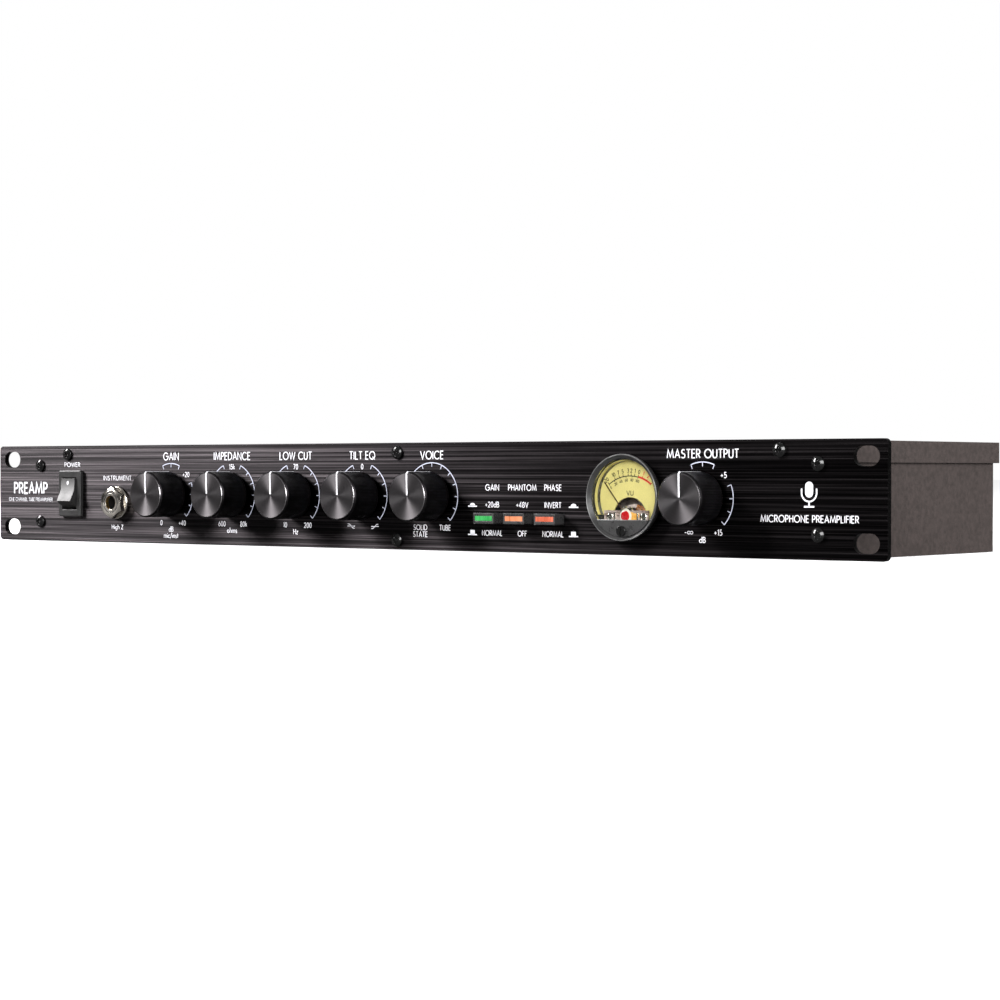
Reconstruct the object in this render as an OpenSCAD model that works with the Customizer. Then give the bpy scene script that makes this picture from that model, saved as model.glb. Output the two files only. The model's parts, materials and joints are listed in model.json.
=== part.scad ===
// Rack-mount tube microphone preamplifier, one rack unit high, as separate sub-parts.
// Frame in millimetres: X to the right, Y into the unit, Z up. The origin is the centre of
// the four rack slots on the rear face of the front panel, which meets the rack rails.

/* [Front panel] */
// Width of the rack panel
panel_w = 482.6; // [482:0.1:600]
// Height of the rack panel
panel_h = 44.4; // [44:0.1:60]
// Thickness of the rack panel
panel_t = 2.5; // [2:0.1:4]
// Corner radius of the rack panel
panel_corner_r = 2; // [0.5:0.1:4]
// Length of a rack slot
slot_l = 11; // [8:0.1:14]
// Width of a rack slot
slot_w = 7.4; // [5.5:0.1:9]
// Distance from a slot's centre to the end of the panel
slot_edge_x = 8.75; // [7:0.05:12]
// Distance from a slot's centre to the top or bottom edge of the panel
slot_edge_z = 6.325; // [5.5:0.005:9]

/* [Case] */
// Thickness of the sheet steel
sheet_t = 1.2; // [0.8:0.1:1.6]
// Width of the panel's ear on each side of the case
ear_w = 23.4; // [18:0.1:30]
// Depth of the case behind the panel
case_d = 123.4; // [110:0.1:200]
// Drop of the cover's top face below the panel's top edge
cover_drop = 0.3; // [0:0.1:1]
// Gap between the cover and each side of the case
cover_side_gap = 0.2; // [0.1:0.1:0.5]
// Gap between the cover and the rear of the case
cover_rear_gap = 1.4; // [0.3:0.1:2]
// Height of the cover's side and rear flanges
cover_flange_h = 8.3; // [5:0.1:10]
// Height of the cover's front flange
cover_front_h = 7.5; // [6:0.1:9]
// Width of the lips folded in at the top of the case
lip_w = 12; // [10:0.5:16]
// Width of the tab at each end of the case's front wall
ear_tab_w = 12.6; // [11:0.1:16]
// Length of a vent slot in the cover
vent_l = 22; // [14:0.5:30]
// Width of a vent slot in the cover
vent_w = 2.6; // [1.5:0.1:3.5]
// Distance from one vent slot to the next
vent_pitch = 7; // [5:0.5:10]

/* [Screws] */
// Shank radius of the screws
screw_r = 1.45; // [1.2:0.05:1.7]
// Head radius of the screws
head_r = 2.75; // [2.4:0.05:3.4]
// Height of a pan head
head_h = 1.7; // [1.2:0.1:2.2]
// Length of a screw below its head
screw_l = 6; // [5:0.5:9]
// Distance from the case's side to an ear screw
ear_screw_in = 5.4; // [4:0.1:7]
// Height of an ear screw above or below the panel's centre
ear_screw_z = 13.1; // [11:0.1:15]
// Distance from the panel's edge to an edge screw
edge_screw_in = 4; // [3.6:0.1:5]
// Distance from the panel's left end to the left edge screw
left_edge_screw = 47.8; // [40:0.1:60]
// Distance from the panel's right end to the right edge screw
right_edge_screw = 45.4; // [40:0.1:60]
// Place of the middle pair of edge screws, to the right of the centre
middle_edge_screw = 9.3; // [5:0.1:10]

/* [Power rocker] */
// Distance from the panel's left end to the rocker
rocker_in = 50.8; // [48:0.1:56]
// Width of the rocker's bezel
rocker_bezel_w = 15; // [14.6:0.1:18]
// Height of the rocker's bezel
rocker_bezel_h = 21.4; // [21:0.1:24]
// Height of the bezel in front of the panel
rocker_bezel_t = 2; // [1.5:0.1:3]
// Width of the rocker's housing behind the bezel
rocker_body_w = 13; // [12:0.1:14]
// Height of the rocker's housing behind the bezel
rocker_body_h = 19.2; // [18.4:0.1:20]
// Depth of the rocker's housing behind the panel
rocker_body_d = 16; // [12:0.5:22]
// Width of the paddle
paddle_w = 9.2; // [7:0.1:10]
// Distance from the paddle's pivot to the valley of its face
paddle_rise = 5.2; // [4.5:0.1:6]
// Half the length of the paddle's face
paddle_half = 5.4; // [4.5:0.1:6]
// Slope of each half of the paddle's face, in degrees
paddle_slope = 11; // [6:1:14]
// Tilt of the paddle in each of its two positions, in degrees
paddle_tilt = 16; // [10:1:18]
// Radius of the paddle's pivot pins
paddle_pin_r = 1; // [0.7:0.05:1.3]

/* [Jacks] */
// Distance from the panel's left end to the instrument jack
jack_in = 81.3; // [79:0.1:86]
// Height of the instrument jack below the panel's centre
jack_drop = 3.95; // [0:0.05:6]
// Bore radius that takes a quarter-inch plug
jack_bore_r = 3.2; // [3.18:0.01:3.4]
// Outer radius of the threaded barrel
jack_barrel_r = 4.7; // [4.4:0.05:5.2]
// Hex nut, across flats
jack_nut_af = 12.7; // [12:0.1:14.5]
// Hex nut, thickness
jack_nut_t = 2.8; // [2:0.1:4]
// Washer radius
jack_washer_r = 7.6; // [7.4:0.1:9]
// Washer thickness
jack_washer_t = 1.5; // [0.6:0.1:2]
// Width of the jack's body
jack_body_w = 14; // [12:0.5:16]
// Height of the jack's body
jack_body_h = 17; // [14:0.5:20]
// Depth of the jack's body
jack_body_d = 24; // [22:0.5:30]

/* [Knobs] */
// Distance from the panel's left end to the first knob
first_knob_in = 116.3; // [114:0.1:124]
// Distance from one knob to the next
knob_pitch = 38.24; // [34:0.02:46]
// Distance from the panel's right end to the master knob
master_in = 79.7; // [74:0.1:84]
// Radius of a knob
knob_r = 10.15; // [8.4:0.05:12.2]
// Height of a knob's face in front of the panel
knob_out = 16; // [13:0.1:20]
// Gap between a knob and the panel
knob_gap = 0.8; // [0.5:0.1:2]
// Chamfer around a knob's face
knob_chamfer = 0.8; // [0.3:0.1:1.5]
// Width of the pointer groove
pointer_w = 0.9; // [0.5:0.1:1.5]
// Depth of the pointer groove
pointer_d = 0.25; // [0.1:0.05:0.5]

/* [Potentiometers] */
// Radius of a control shaft
shaft_r = 3; // [2.5:0.05:3.6]
// Running clearance of a shaft or pin in its bearing
run_gap = 0.05; // [0.03:0.01:0.08]
// Thickness of the shaft left at its D-shaped flat, past its axis
shaft_flat = 1.5; // [1:0.1:2]
// Radius of the threaded bushing
bush_r = 4.2; // [4.1:0.1:5]
// Length of the bushing in front of the panel
bush_out = 3; // [2.8:0.1:4]
// Pot nut, across flats
pot_nut_af = 11; // [10.6:0.1:12.5]
// Pot nut, thickness
pot_nut_t = 2; // [1.5:0.1:2.6]
// Radius of a pot's body
pot_r = 8.5; // [7:0.1:10]
// Depth of a pot's body behind the case's front wall
pot_d = 12.8; // [10:0.1:16]

/* [Push buttons] */
// Distance from the voice knob to the first button
button_start = 31.8; // [28:0.1:40]
// Distance from one button to the next
button_pitch = 15.4; // [13:0.1:19]
// Depth of the buttons below the panel's centre
button_drop = 8.6; // [6:0.1:10]
// Width of a button cap
button_w = 10.5; // [9:0.1:12.6]
// Height of a button cap
button_h = 4.3; // [4:0.1:5.5]
// Height of a cap in front of the panel when it is out
button_out = 5.8; // [5:0.1:8]
// Travel of a button
button_travel = 3; // [2:0.1:3.5]
// Wall of a button cap
button_wall = 0.8; // [0.6:0.1:1]
// Height of the lens in a cap's face
lens_h = 2; // [1.5:0.1:2.2]
// Gap around a cap in the panel
button_gap = 0.3; // [0.25:0.05:0.6]
// Width and height of a push switch's body
switch_w = 8.6; // [7.5:0.1:11]
// Depth of a push switch's body
switch_d = 9; // [8:0.1:10]

/* [Meter] */
// Distance from the panel's right end to the meter
meter_in = 114.8; // [110:0.1:118]
// Height of the meter above the panel's centre
meter_z = 0.2; // [-2:0.1:2]
// Outer radius of the meter's bezel
bezel_r = 16.9; // [16.4:0.1:20]
// Radius of the opening in the bezel
bezel_open_r = 15; // [12.5:0.1:15]
// Height of the bezel in front of the panel
bezel_t = 4; // [3:0.1:6]
// Radius of the meter's housing behind the panel
meter_can_r = 15.4; // [15.2:0.1:16]
// Wall of the meter's housing
meter_can_wall = 0.8; // [0.6:0.1:1.2]
// Depth of the meter's housing behind the panel's rear face
meter_can_d = 20; // [18:0.5:30]
// Depth of the apron's edge below the meter's centre
apron_drop = 8.8; // [8:0.1:9.5]
// Depth of the needle's pivot below the meter's centre
pivot_drop = 8.4; // [8:0.1:9]
// Length of the needle from its pivot
needle_l = 18.6; // [15:0.1:19]
// Angle of the needle at rest, left of upright
needle_rest = 38.8; // [30:0.1:45]
// Radius of the zero-adjust screw's head
zero_head_r = 2.1; // [1.5:0.1:2.4]

/* [Boards] */
// Thickness of a circuit board
board_t = 1.6; // [1:0.1:2.4]
// Height of the main board above the case's floor
spacer_h = 6; // [4:0.5:9]
// Radius of a board spacer
spacer_r = 2.75; // [2.5:0.05:3.5]
// Gap between the case's front wall and the main board's front edge
main_board_in = 22.8; // [22:0.1:28]
// Gap between the main board and the rear of the case
main_board_rear = 31.4; // [28:0.1:40]
// Gap between the main board and the right side of the case
main_board_side = 12.9; // [5:0.1:20]

/* [Transformer and tube] */
// Distance from the case's left side to the transformer's axis
transformer_in = 99.9; // [98:0.1:110]
// Outer radius of the transformer
transformer_r = 33; // [28:0.5:34]
// Height of the transformer
transformer_h = 30; // [24:0.5:31]
// Radius of the hole in the transformer
transformer_hole_r = 11; // [8:0.5:14]
// Radius of the tube's glass
tube_r = 10.5; // [9:0.1:11.5]
// Length of the tube's glass
tube_l = 48; // [40:0.5:56]
// Distance from the main board's left end to the tube's base
tube_in = 95; // [88:1:110]

/* [Rear connectors] */
// Depth of the connectors' centres below the panel's centre
rear_drop = 4.9; // [3:0.1:5.5]
// Distance from the case's right side to the microphone input
mic_in = 47.9; // [40:0.1:60]
// Distance from one rear connector to the next
rear_pitch = 34; // [30:0.5:50]
// Width of a connector flange
xlr_w = 26; // [25:0.1:30]
// Height of a connector flange
xlr_h = 31; // [30:0.1:31.5]
// Thickness of a connector flange
xlr_flange_t = 2; // [1.5:0.1:3]
// Radius of a connector's body
xlr_body_r = 11.8; // [11:0.1:12]
// Depth of a connector's body
xlr_body_d = 24; // [20:0.5:28]
// Width of the mains inlet's flange
inlet_w = 50; // [48:0.1:52]
// Height of the mains inlet's flange
inlet_h = 31.6; // [31:0.1:33]
// Width of the mains inlet's body
inlet_body_w = 28; // [27:0.1:32]
// Height of the mains inlet's body
inlet_body_h = 29.6; // [29.2:0.1:31]
// Depth of the mains inlet's body
inlet_body_d = 24; // [20:0.5:30]
// Radius of a mains wire
wire_r = 1.2; // [0.8:0.05:1.4]

/* [Hidden] */
$fn = 64;
tiny = 0.01;

// Case and cover
case_x = panel_w / 2 - ear_w;
floor_z = -panel_h / 2 + sheet_t;
cover_z = panel_h / 2 - cover_drop;
under_cover_z = cover_z - sheet_t;
cover_x = case_x + cover_side_gap + sheet_t;
cover_y = case_d + cover_rear_gap + sheet_t;
fold_gap = 0.3;
front_wall_z = cover_z - cover_front_h - fold_gap;
tab_x = case_x - ear_tab_w;

// Screw holes
clear_r = screw_r + 0.25;
tap_r = screw_r + 0.05;
edge_screw_z = panel_h / 2 - edge_screw_in;
edge_screw_x = [left_edge_screw - panel_w / 2, middle_edge_screw, panel_w / 2 - right_edge_screw];
ear_screws = [for (x = [-1, 1], z = [-1, 1]) [x * (case_x - ear_screw_in), z * ear_screw_z]];
cover_tab_screws = [for (x = edge_screw_x) [x, edge_screw_z]];
tray_screws = concat(ear_screws, [[middle_edge_screw, -edge_screw_z]]);

// Controls
rocker_x = rocker_in - panel_w / 2;
jack_x = jack_in - panel_w / 2;
first_knob_x = first_knob_in - panel_w / 2;
master_x = panel_w / 2 - master_in;
knob_x = concat([for (i = [0:4]) first_knob_x + i * knob_pitch], [master_x]);
button_x = [for (i = [0:2]) knob_x[4] + button_start + i * button_pitch];
meter_x = panel_w / 2 - meter_in;
knob_names = ["gain", "impedance", "low_cut", "tilt", "voice", "master"];
button_names = ["boost", "phantom", "phase"];
lens_colours = ["limegreen", "sandybrown", "tomato"];

// Knobs and pots
knob_seat = panel_t + knob_gap;
knob_l = knob_out - knob_gap;
knob_recess_r = pot_nut_af / sqrt(3) + 0.5;
knob_recess_d = bush_out + 0.6;
shaft_tip = panel_t + knob_out - 2.2;
shaft_flat_start = knob_seat + knob_recess_d - 0.4;
fit_gap = 0.02;
bush_gap = 0.15;
pot_wall = 1.2;
pot_cavity_r = pot_r - pot_wall;
pot_back = -sheet_t - pot_d;
wiper_t = 1.5;
wiper_gap = 0.6;

// Power rocker
paddle_gap = 0.3;
paddle_pivot = panel_t + rocker_bezel_t + 1.2 - paddle_rise * cos(paddle_tilt);
paddle_heel = 2;
paddle_window_w = paddle_w + 2 * paddle_gap;
paddle_flank = paddle_half + 1.6;
paddle_window_h = 2 * (paddle_flank + 0.45);
rocker_cut_gap = 0.2;
blade_x = 3.4;
blade_z = 5.2;
blade_w = 4.8;
blade_t = 0.8;
blade_l = 8;

// Push buttons
cap_l = panel_t + button_out + 0.5;
web_l = 4;
lens_w = button_w - 2 * button_wall;
plunger_w = 4;
plunger_h = 2;
plunger_seat = 3;
switch_gap = 0.25;
switch_front = pot_back + switch_d;

// Meter
apron_front = panel_t + bezel_t - 0.6;
apron_back = panel_t + 1.2;
glass_back = panel_t + 1.4;
glass_t = 1;
can_inner_r = meter_can_r - meter_can_wall;
plate_front = 0.5;
plate_t = 0.6;
plate_r = can_inner_r - 0.4;
plate_cut_r = 8;
plate_cut_drop = pivot_drop - 0.5;
needle_z = 1.35;
needle_t = 0.3;
needle_w = 0.35;
bridge_z = 2.2;
bridge_t = 1;
spindle_r = 0.6;
core_r = 2.4;
core_front = -4.2;
coil_r = 3.6;
coil_wall = 0.6;
yoke_out_r = 5.8;
yoke_in_r = 4.4;
movement_back = -12;
movement_plate_t = 1.2;
zero_drop = 13;
zero_pin_r = 1.2;

// Boards
switch_board_z = panel_h / 2 - 3.3;
switch_board_x = [first_knob_x - 16, button_x[2] + 13];
master_board_w = 29;
main_x = [-case_x + transformer_in + transformer_r + 10, case_x - main_board_side];
main_y = [sheet_t + main_board_in, case_d - main_board_rear];
main_z = floor_z + spacer_h;
board_top = main_z + board_t;
spacer_points = [for (x = [main_x[0] + 6, (main_x[0] + main_x[1]) / 2, main_x[1] - 6],
                      y = [main_y[0] + 5, main_y[1] - 5]) [x, y]];

// Transformer and tube
transformer_x = -case_x + transformer_in;
transformer_y = (sheet_t + case_d) / 2 + 9.7;
tube_x = main_x[0] + tube_in;
tube_y = (main_y[0] + main_y[1]) / 2;
tube_z = board_top + tube_r + 2;
tube_pin_l = 6;
tube_pin_circle_r = 5.9;
socket_l = 12;
riser_t = 1.6;

// Rear connectors
mic_x = case_x - mic_in;
line_x = mic_x - rear_pitch;
rear_jack_x = line_x - rear_pitch;
inlet_x = rocker_x;
rear_z = -rear_drop;
inlet_flange_t = 2.2;
socket_w = 24.2;
socket_h = 16.4;
socket_rise = 5.2;
socket_d = 13;
inlet_blades = [[-7, socket_rise - 1], [7, socket_rise - 1], [0, socket_rise + 3.5]];
inlet_blade_w = 2;
inlet_blade_h = 4;
inlet_tag = 30;
drawer_drop = 9.3;
drawer_w = 22.2;
drawer_h = 8.2;
drawer_l = 20;
drawer_gap = 0.3;
xlr_holes = [[-9.5, 12], [9.5, -12]];
xlr_contacts = [for (a = [45, 135, 270]) 5.6 * [cos(a), sin(a)]];
latch_w = 9;
latch_h = 3.2;
latch_y = 12.2;
latch_travel = 1.5;

// ---------- outlines and placing ----------

// A rectangle with round corners, centred
module round_rect(w, h, r) {
    square([w - 2 * r, h], center = true);
    square([w, h - 2 * r], center = true);
    for (x = [-1, 1], y = [-1, 1])
        translate([x * (w / 2 - r), y * (h / 2 - r)]) circle(r);
}

// A slot with round ends, centred, with its length along X
module slot(l, w) {
    square([l - w, w], center = true);
    for (x = [-1, 1]) translate([x * (l - w) / 2, 0]) circle(w / 2);
}

// A hexagon, centred, with a flat on each side in X
module hexagon(af) {
    rotate(30) circle(af / sqrt(3), $fn = 6);
}

// Places children that point out of the front: their Z is -Y and their Y is Z
module at_front(x, z) {
    translate([x, 0, z]) rotate([90, 0, 0]) children();
}

// Places children that point out of the rear: their Z is +Y, and Z = 0 is the case's rear face
module at_rear(x, z = rear_z) {
    translate([x, case_d, z]) rotate([90, 0, 180]) children();
}

// A prism of a 2D shape between two heights
module prism(z0, z1) {
    translate([0, 0, z0]) linear_extrude(z1 - z0) children();
}

// A cylinder between two heights
module rod(r, z0, z1) {
    translate([0, 0, z0]) cylinder(r = r, h = z1 - z0);
}

// A block between two corners
module block(a, b) {
    translate(a) cube(b - a);
}

// A straight wire between two points
module wire(a, b, r) {
    v = b - a;
    l = norm(v);
    translate(a) rotate([0, acos(v[2] / l), atan2(v[1], v[0])]) cylinder(r = r, h = l);
}

// ---------- fasteners ----------

module cross_recess(top, depth) {
    for (a = [0, 90]) rotate(a) block([-1.5, -0.4, top - depth], [1.5, 0.4, top + 1]);
}

// A pan head screw: its head stands on Z = 0 and its shank goes down
module pan_screw(l = screw_l) {
    dome_r = 1.6 * head_r;
    difference() {
        union() {
            intersection() {
                rod(head_r, 0, head_h);
                translate([0, 0, head_h - dome_r]) sphere(dome_r, $fn = 96);
            }
            rod(screw_r, -l, tiny);
        }
        cross_recess(head_h, 1);
    }
}

// A countersunk screw: its head is flush with Z = 0
module flat_screw(l = screw_l) {
    difference() {
        union() {
            translate([0, 0, -sheet_t]) cylinder(r1 = screw_r, r2 = head_r, h = sheet_t);
            rod(screw_r, -l, -sheet_t + tiny);
        }
        cross_recess(0, 0.7);
    }
}

// A hexagon nut with chamfered corners, standing on Z = 0
module hex_nut(af, t, bore_r) {
    corner_r = af / sqrt(3);
    cut = corner_r - af / 2;
    difference() {
        intersection() {
            linear_extrude(t) hexagon(af);
            rotate_extrude()
                polygon([[0, 0], [corner_r, 0], [corner_r, t - cut * 0.6], [corner_r - cut, t], [0, t]]);
        }
        rod(bore_r, -1, t + 1);
    }
}

// ---------- panel and case ----------

// The holes that the panel and the case's front wall share, each opened by a gap
module control_holes(gap = 0) {
    translate([rocker_x, 0])
        square([rocker_body_w, rocker_body_h] + 2 * (rocker_cut_gap + gap) * [1, 1], center = true);
    translate([jack_x, -jack_drop]) circle(jack_barrel_r + bush_gap + gap);
    for (x = knob_x) translate([x, 0]) circle(bush_r + bush_gap + gap);
    for (x = button_x) translate([x, -button_drop])
        square([button_w, button_h] + 2 * (button_gap + gap) * [1, 1], center = true);
    translate([meter_x, meter_z]) circle(meter_can_r + rocker_cut_gap + gap);
}

module front_panel() {
    color("#1c1a1d") at_front(0, 0) linear_extrude(panel_t) difference() {
        round_rect(panel_w, panel_h, panel_corner_r);
        for (x = [-1, 1], z = [-1, 1])
            translate([x * (panel_w / 2 - slot_edge_x), z * (panel_h / 2 - slot_edge_z)])
                slot(slot_l, slot_w);
        for (p = concat(tray_screws, cover_tab_screws)) translate(p) circle(clear_r);
        control_holes();
    }
}

// Centres of the screws that hold the cover down on the case's lips
function cover_screw_points() = concat(
    [for (x = [-0.7, 0, 0.7]) [x * case_x, case_d - lip_w / 2]],
    [for (x = [-1, 1]) [x * (case_x - lip_w / 2), case_d / 2]]);

module chassis_tray() {
    lip_z = under_cover_z - sheet_t;
    color("#554c4a") difference() {
        union() {
            block([-case_x, 0, floor_z - sheet_t], [case_x, case_d, floor_z]);
            for (s = [0, 1]) mirror([s, 0, 0]) {
                block([case_x - sheet_t, 0, floor_z - tiny], [case_x, case_d, under_cover_z]);
                block([case_x - lip_w, sheet_t, lip_z], [case_x, case_d, under_cover_z]);
                block([tab_x, 0, floor_z - tiny], [case_x, sheet_t, under_cover_z]);
            }
            block([-case_x, case_d - sheet_t, floor_z - tiny], [case_x, case_d, under_cover_z]);
            block([-case_x, case_d - lip_w, lip_z], [case_x, case_d, under_cover_z]);
            block([-case_x, 0, floor_z - tiny], [case_x, sheet_t, front_wall_z]);
        }
        at_front(0, 0) prism(-sheet_t - 1, 1) {
            control_holes(0.2);
            for (p = tray_screws) translate(p) circle(tap_r);
        }
        for (p = cover_screw_points()) translate([p[0], p[1], 0]) rod(tap_r, lip_z - 1, cover_z);
        rear_wall_holes();
    }
}

module rear_wall_holes() {
    for (x = [mic_x, line_x]) at_rear(x) {
        rod(xlr_body_r + 0.2, -sheet_t - 1, 1);
        for (p = xlr_holes) translate(p) rod(tap_r, -sheet_t - 1, 1);
    }
    at_rear(rear_jack_x) rod(jack_barrel_r + bush_gap, -sheet_t - 1, 1);
    at_rear(inlet_x) prism(-sheet_t - 1, 1) {
        square([inlet_body_w, inlet_body_h] + 0.4 * [1, 1], center = true);
        for (s = [-1, 1]) translate([s * 20, 0]) circle(tap_r);
    }
}

// A row of vent slots along X, centred on a point
module vent_row(x, y, count) {
    for (i = [0:count - 1])
        translate([x + (i - (count - 1) / 2) * vent_pitch, y]) rotate(90) slot(vent_l, vent_w);
}

module top_cover() {
    flange_z = cover_z - cover_flange_h;
    color("#554c4a") difference() {
        union() {
            block([-cover_x, 0, under_cover_z], [cover_x, cover_y, cover_z]);
            for (s = [0, 1]) mirror([s, 0, 0])
                block([cover_x - sheet_t, 0, flange_z], [cover_x, cover_y, cover_z]);
            block([-cover_x, cover_y - sheet_t, flange_z], [cover_x, cover_y, cover_z]);
            block([-tab_x + fold_gap, 0, cover_z - cover_front_h], [tab_x - fold_gap, sheet_t, cover_z]);
        }
        at_front(0, 0) prism(-sheet_t - 1, 1) {
            control_holes(0.2);
            for (p = cover_tab_screws) translate(p) circle(tap_r);
        }
        for (p = cover_screw_points()) translate([p[0], p[1], 0]) {
            rod(screw_r + 0.1, under_cover_z - 1, cover_z + 1);
            translate([0, 0, under_cover_z])
                cylinder(r1 = screw_r + 0.1, r2 = head_r + 0.1, h = sheet_t + tiny);
        }
        prism(under_cover_z - 1, cover_z + 1) {
            vent_row(transformer_x, transformer_y, 9);
            vent_row(tube_x + tube_l / 2, tube_y, 9);
        }
    }
}

module panel_screws() {
    color("#101010") for (p = concat(tray_screws, cover_tab_screws))
        at_front(p[0], p[1]) translate([0, 0, panel_t]) pan_screw();
}

module cover_screws() {
    color("#202020") for (p = cover_screw_points()) translate([p[0], p[1], cover_z]) flat_screw();
}

// ---------- power rocker ----------

module rocker_frame() {
    edge = 0.35;
    color("#2a282b") at_front(rocker_x, 0) difference() {
        union() {
            prism(panel_t, panel_t + rocker_bezel_t - edge)
                round_rect(rocker_bezel_w, rocker_bezel_h, 0.6);
            prism(panel_t + rocker_bezel_t - edge - tiny, panel_t + rocker_bezel_t)
                round_rect(rocker_bezel_w - 2 * edge, rocker_bezel_h - 2 * edge, 0.5);
            prism(-rocker_body_d, panel_t + tiny)
                square([rocker_body_w, rocker_body_h], center = true);
        }
        prism(paddle_pivot - paddle_flank + 1.2, panel_t + rocker_bezel_t + 1)
            square([paddle_window_w, paddle_window_h], center = true);
        translate([-rocker_body_w, 0, paddle_pivot]) rotate([0, 90, 0])
            cylinder(r = paddle_pin_r + run_gap, h = 2 * rocker_body_w);
    }
}

module rocker_paddle() {
    tip = paddle_rise + paddle_half * tan(paddle_slope);
    color("#3a373b") at_front(rocker_x, 0) translate([0, 0, paddle_pivot]) rotate([-paddle_tilt, 0, 0]) {
        translate([-paddle_w / 2, 0, 0]) rotate([90, 0, 90]) linear_extrude(paddle_w)
            polygon([[-paddle_flank + 0.4, -paddle_heel], [paddle_flank - 0.4, -paddle_heel],
                     [paddle_flank, 1.5], [paddle_half, tip], [0, paddle_rise],
                     [-paddle_half, tip], [-paddle_flank, 1.5]]);
        rotate([0, 90, 0]) cylinder(r = paddle_pin_r, h = rocker_body_w - 0.4, center = true);
    }
}

module rocker_terminals() {
    color("#c9b26a") at_front(rocker_x, 0) for (x = [-1, 1], z = [-1, 1])
        translate([x * blade_x, z * blade_z]) prism(-rocker_body_d - blade_l, -rocker_body_d)
            square([blade_t, blade_w], center = true);
}

// ---------- jacks ----------

// A quarter-inch jack on a wall of which the outer face is at Z = wall
module jack_body(wall) {
    difference() {
        union() {
            prism(-sheet_t - jack_body_d, -sheet_t) round_rect(jack_body_w, jack_body_h, 1);
            rod(jack_barrel_r, -sheet_t - tiny, wall + jack_washer_t + jack_nut_t);
        }
        rod(jack_bore_r, 2 - sheet_t - jack_body_d, wall + jack_washer_t + jack_nut_t + 1);
    }
}

module jack_washer() {
    bevel = 0.4;
    difference() {
        rotate_extrude() polygon([[0, 0], [jack_washer_r, 0], [jack_washer_r, jack_washer_t - bevel],
                                  [jack_washer_r - bevel, jack_washer_t], [0, jack_washer_t]]);
        rod(jack_barrel_r + fit_gap, -1, jack_washer_t + 1);
    }
}

// Places children on the outer face of the wall at each of the two jacks
module at_both_jacks() {
    at_front(jack_x, -jack_drop) translate([0, 0, panel_t]) children();
    at_rear(rear_jack_x) children();
}

module instrument_jack() {
    color("#b9b7b2") at_front(jack_x, -jack_drop) jack_body(panel_t);
}

module output_jack() {
    color("#b9b7b2") at_rear(rear_jack_x) jack_body(0);
}

module jack_washers() {
    color("#a8a6a2") at_both_jacks() jack_washer();
}

module jack_nuts() {
    color("#d0cdc6") at_both_jacks() translate([0, 0, jack_washer_t])
        hex_nut(jack_nut_af, jack_nut_t, jack_barrel_r + fit_gap);
}

// ---------- knobs and pots ----------

// A round shaft with a flat on its right side
module d_profile(r, gap) {
    difference() {
        circle(r + gap);
        translate([shaft_flat + gap, -2 * r]) square(4 * r);
    }
}

module knob(i) {
    face = knob_seat + knob_l;
    color("#201e20") at_front(knob_x[i], 0) difference() {
        rotate_extrude($fn = 96)
            polygon([[0, knob_seat], [knob_r - 0.4, knob_seat], [knob_r, knob_seat + 0.4],
                     [knob_r, face - knob_chamfer], [knob_r - knob_chamfer, face], [0, face]]);
        rod(knob_recess_r, knob_seat - 1, knob_seat + knob_recess_d);
        prism(knob_seat, shaft_tip + 0.2) d_profile(shaft_r, fit_gap);
        block([-pointer_w / 2, 0, face - pointer_d], [pointer_w / 2, knob_r + 1, face + 1]);
    }
}

module shaft(i) {
    cavity_front = -sheet_t - pot_wall;
    wiper_z = cavity_front - wiper_gap;
    color("#bcbcbc") at_front(knob_x[i], 0) {
        prism(shaft_flat_start, shaft_tip) d_profile(shaft_r, 0);
        rod(shaft_r, wiper_z - wiper_t, shaft_flat_start);
        rod(pot_cavity_r - wiper_gap, wiper_z - wiper_t, wiper_z);
        rod(shaft_r / 2, pot_back + pot_wall + wiper_gap, wiper_z);
    }
}

module pot_bodies() {
    color("#9a9a92") for (x = knob_x) at_front(x, 0) difference() {
        union() {
            rod(pot_r, pot_back, -sheet_t);
            rod(bush_r, -sheet_t - tiny, panel_t + bush_out);
        }
        rod(shaft_r + run_gap, -sheet_t - pot_wall - 1, panel_t + bush_out + 1);
        rod(pot_cavity_r, pot_back + pot_wall, -sheet_t - pot_wall);
    }
}

module pot_nuts() {
    color("#c4c4c0") for (x = knob_x) at_front(x, 0) translate([0, 0, panel_t])
        hex_nut(pot_nut_af, pot_nut_t, bush_r + fit_gap);
}

// ---------- push buttons ----------

module button(i) {
    front = panel_t + button_out;
    back = front - cap_l;
    inner_h = button_h - 2 * button_wall;
    color("#1f1d20") at_front(button_x[i], -button_drop) difference() {
        prism(back, front) round_rect(button_w, button_h, 0.3);
        prism(back + web_l, front - button_wall) square([lens_w, inner_h], center = true);
        prism(back + web_l, front + 1) square([lens_w, lens_h], center = true);
        prism(back - 1, back + plunger_seat)
            square([plunger_w, plunger_h] + 2 * fit_gap * [1, 1], center = true);
    }
}

module lens(i) {
    front = panel_t + button_out;
    color(lens_colours[i]) at_front(button_x[i], -button_drop)
        prism(front - cap_l + web_l, front - 0.1)
            square([lens_w, lens_h] - 2 * fit_gap * [1, 1], center = true);
}

module plunger(i) {
    seat = panel_t + button_out - cap_l + plunger_seat;
    color("#e6e2d8") at_front(button_x[i], -button_drop)
        prism(switch_front - switch_d + button_travel + 1.5, seat)
            square([plunger_w, plunger_h], center = true);
}

module switch_bodies() {
    color("#3b3b3f") for (x = button_x) at_front(x, -button_drop) difference() {
        prism(pot_back, switch_front) round_rect(switch_w, switch_w, 0.5);
        prism(pot_back + 1, switch_front + 1)
            square([plunger_w, plunger_h] + 2 * switch_gap * [1, 1], center = true);
    }
}

// ---------- meter ----------

// The part of a disc above or below the apron's edge
module disc_above(r, drop) {
    difference() {
        circle(r);
        translate([-2 * r, -4 * r - drop]) square(4 * r);
    }
}

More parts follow.
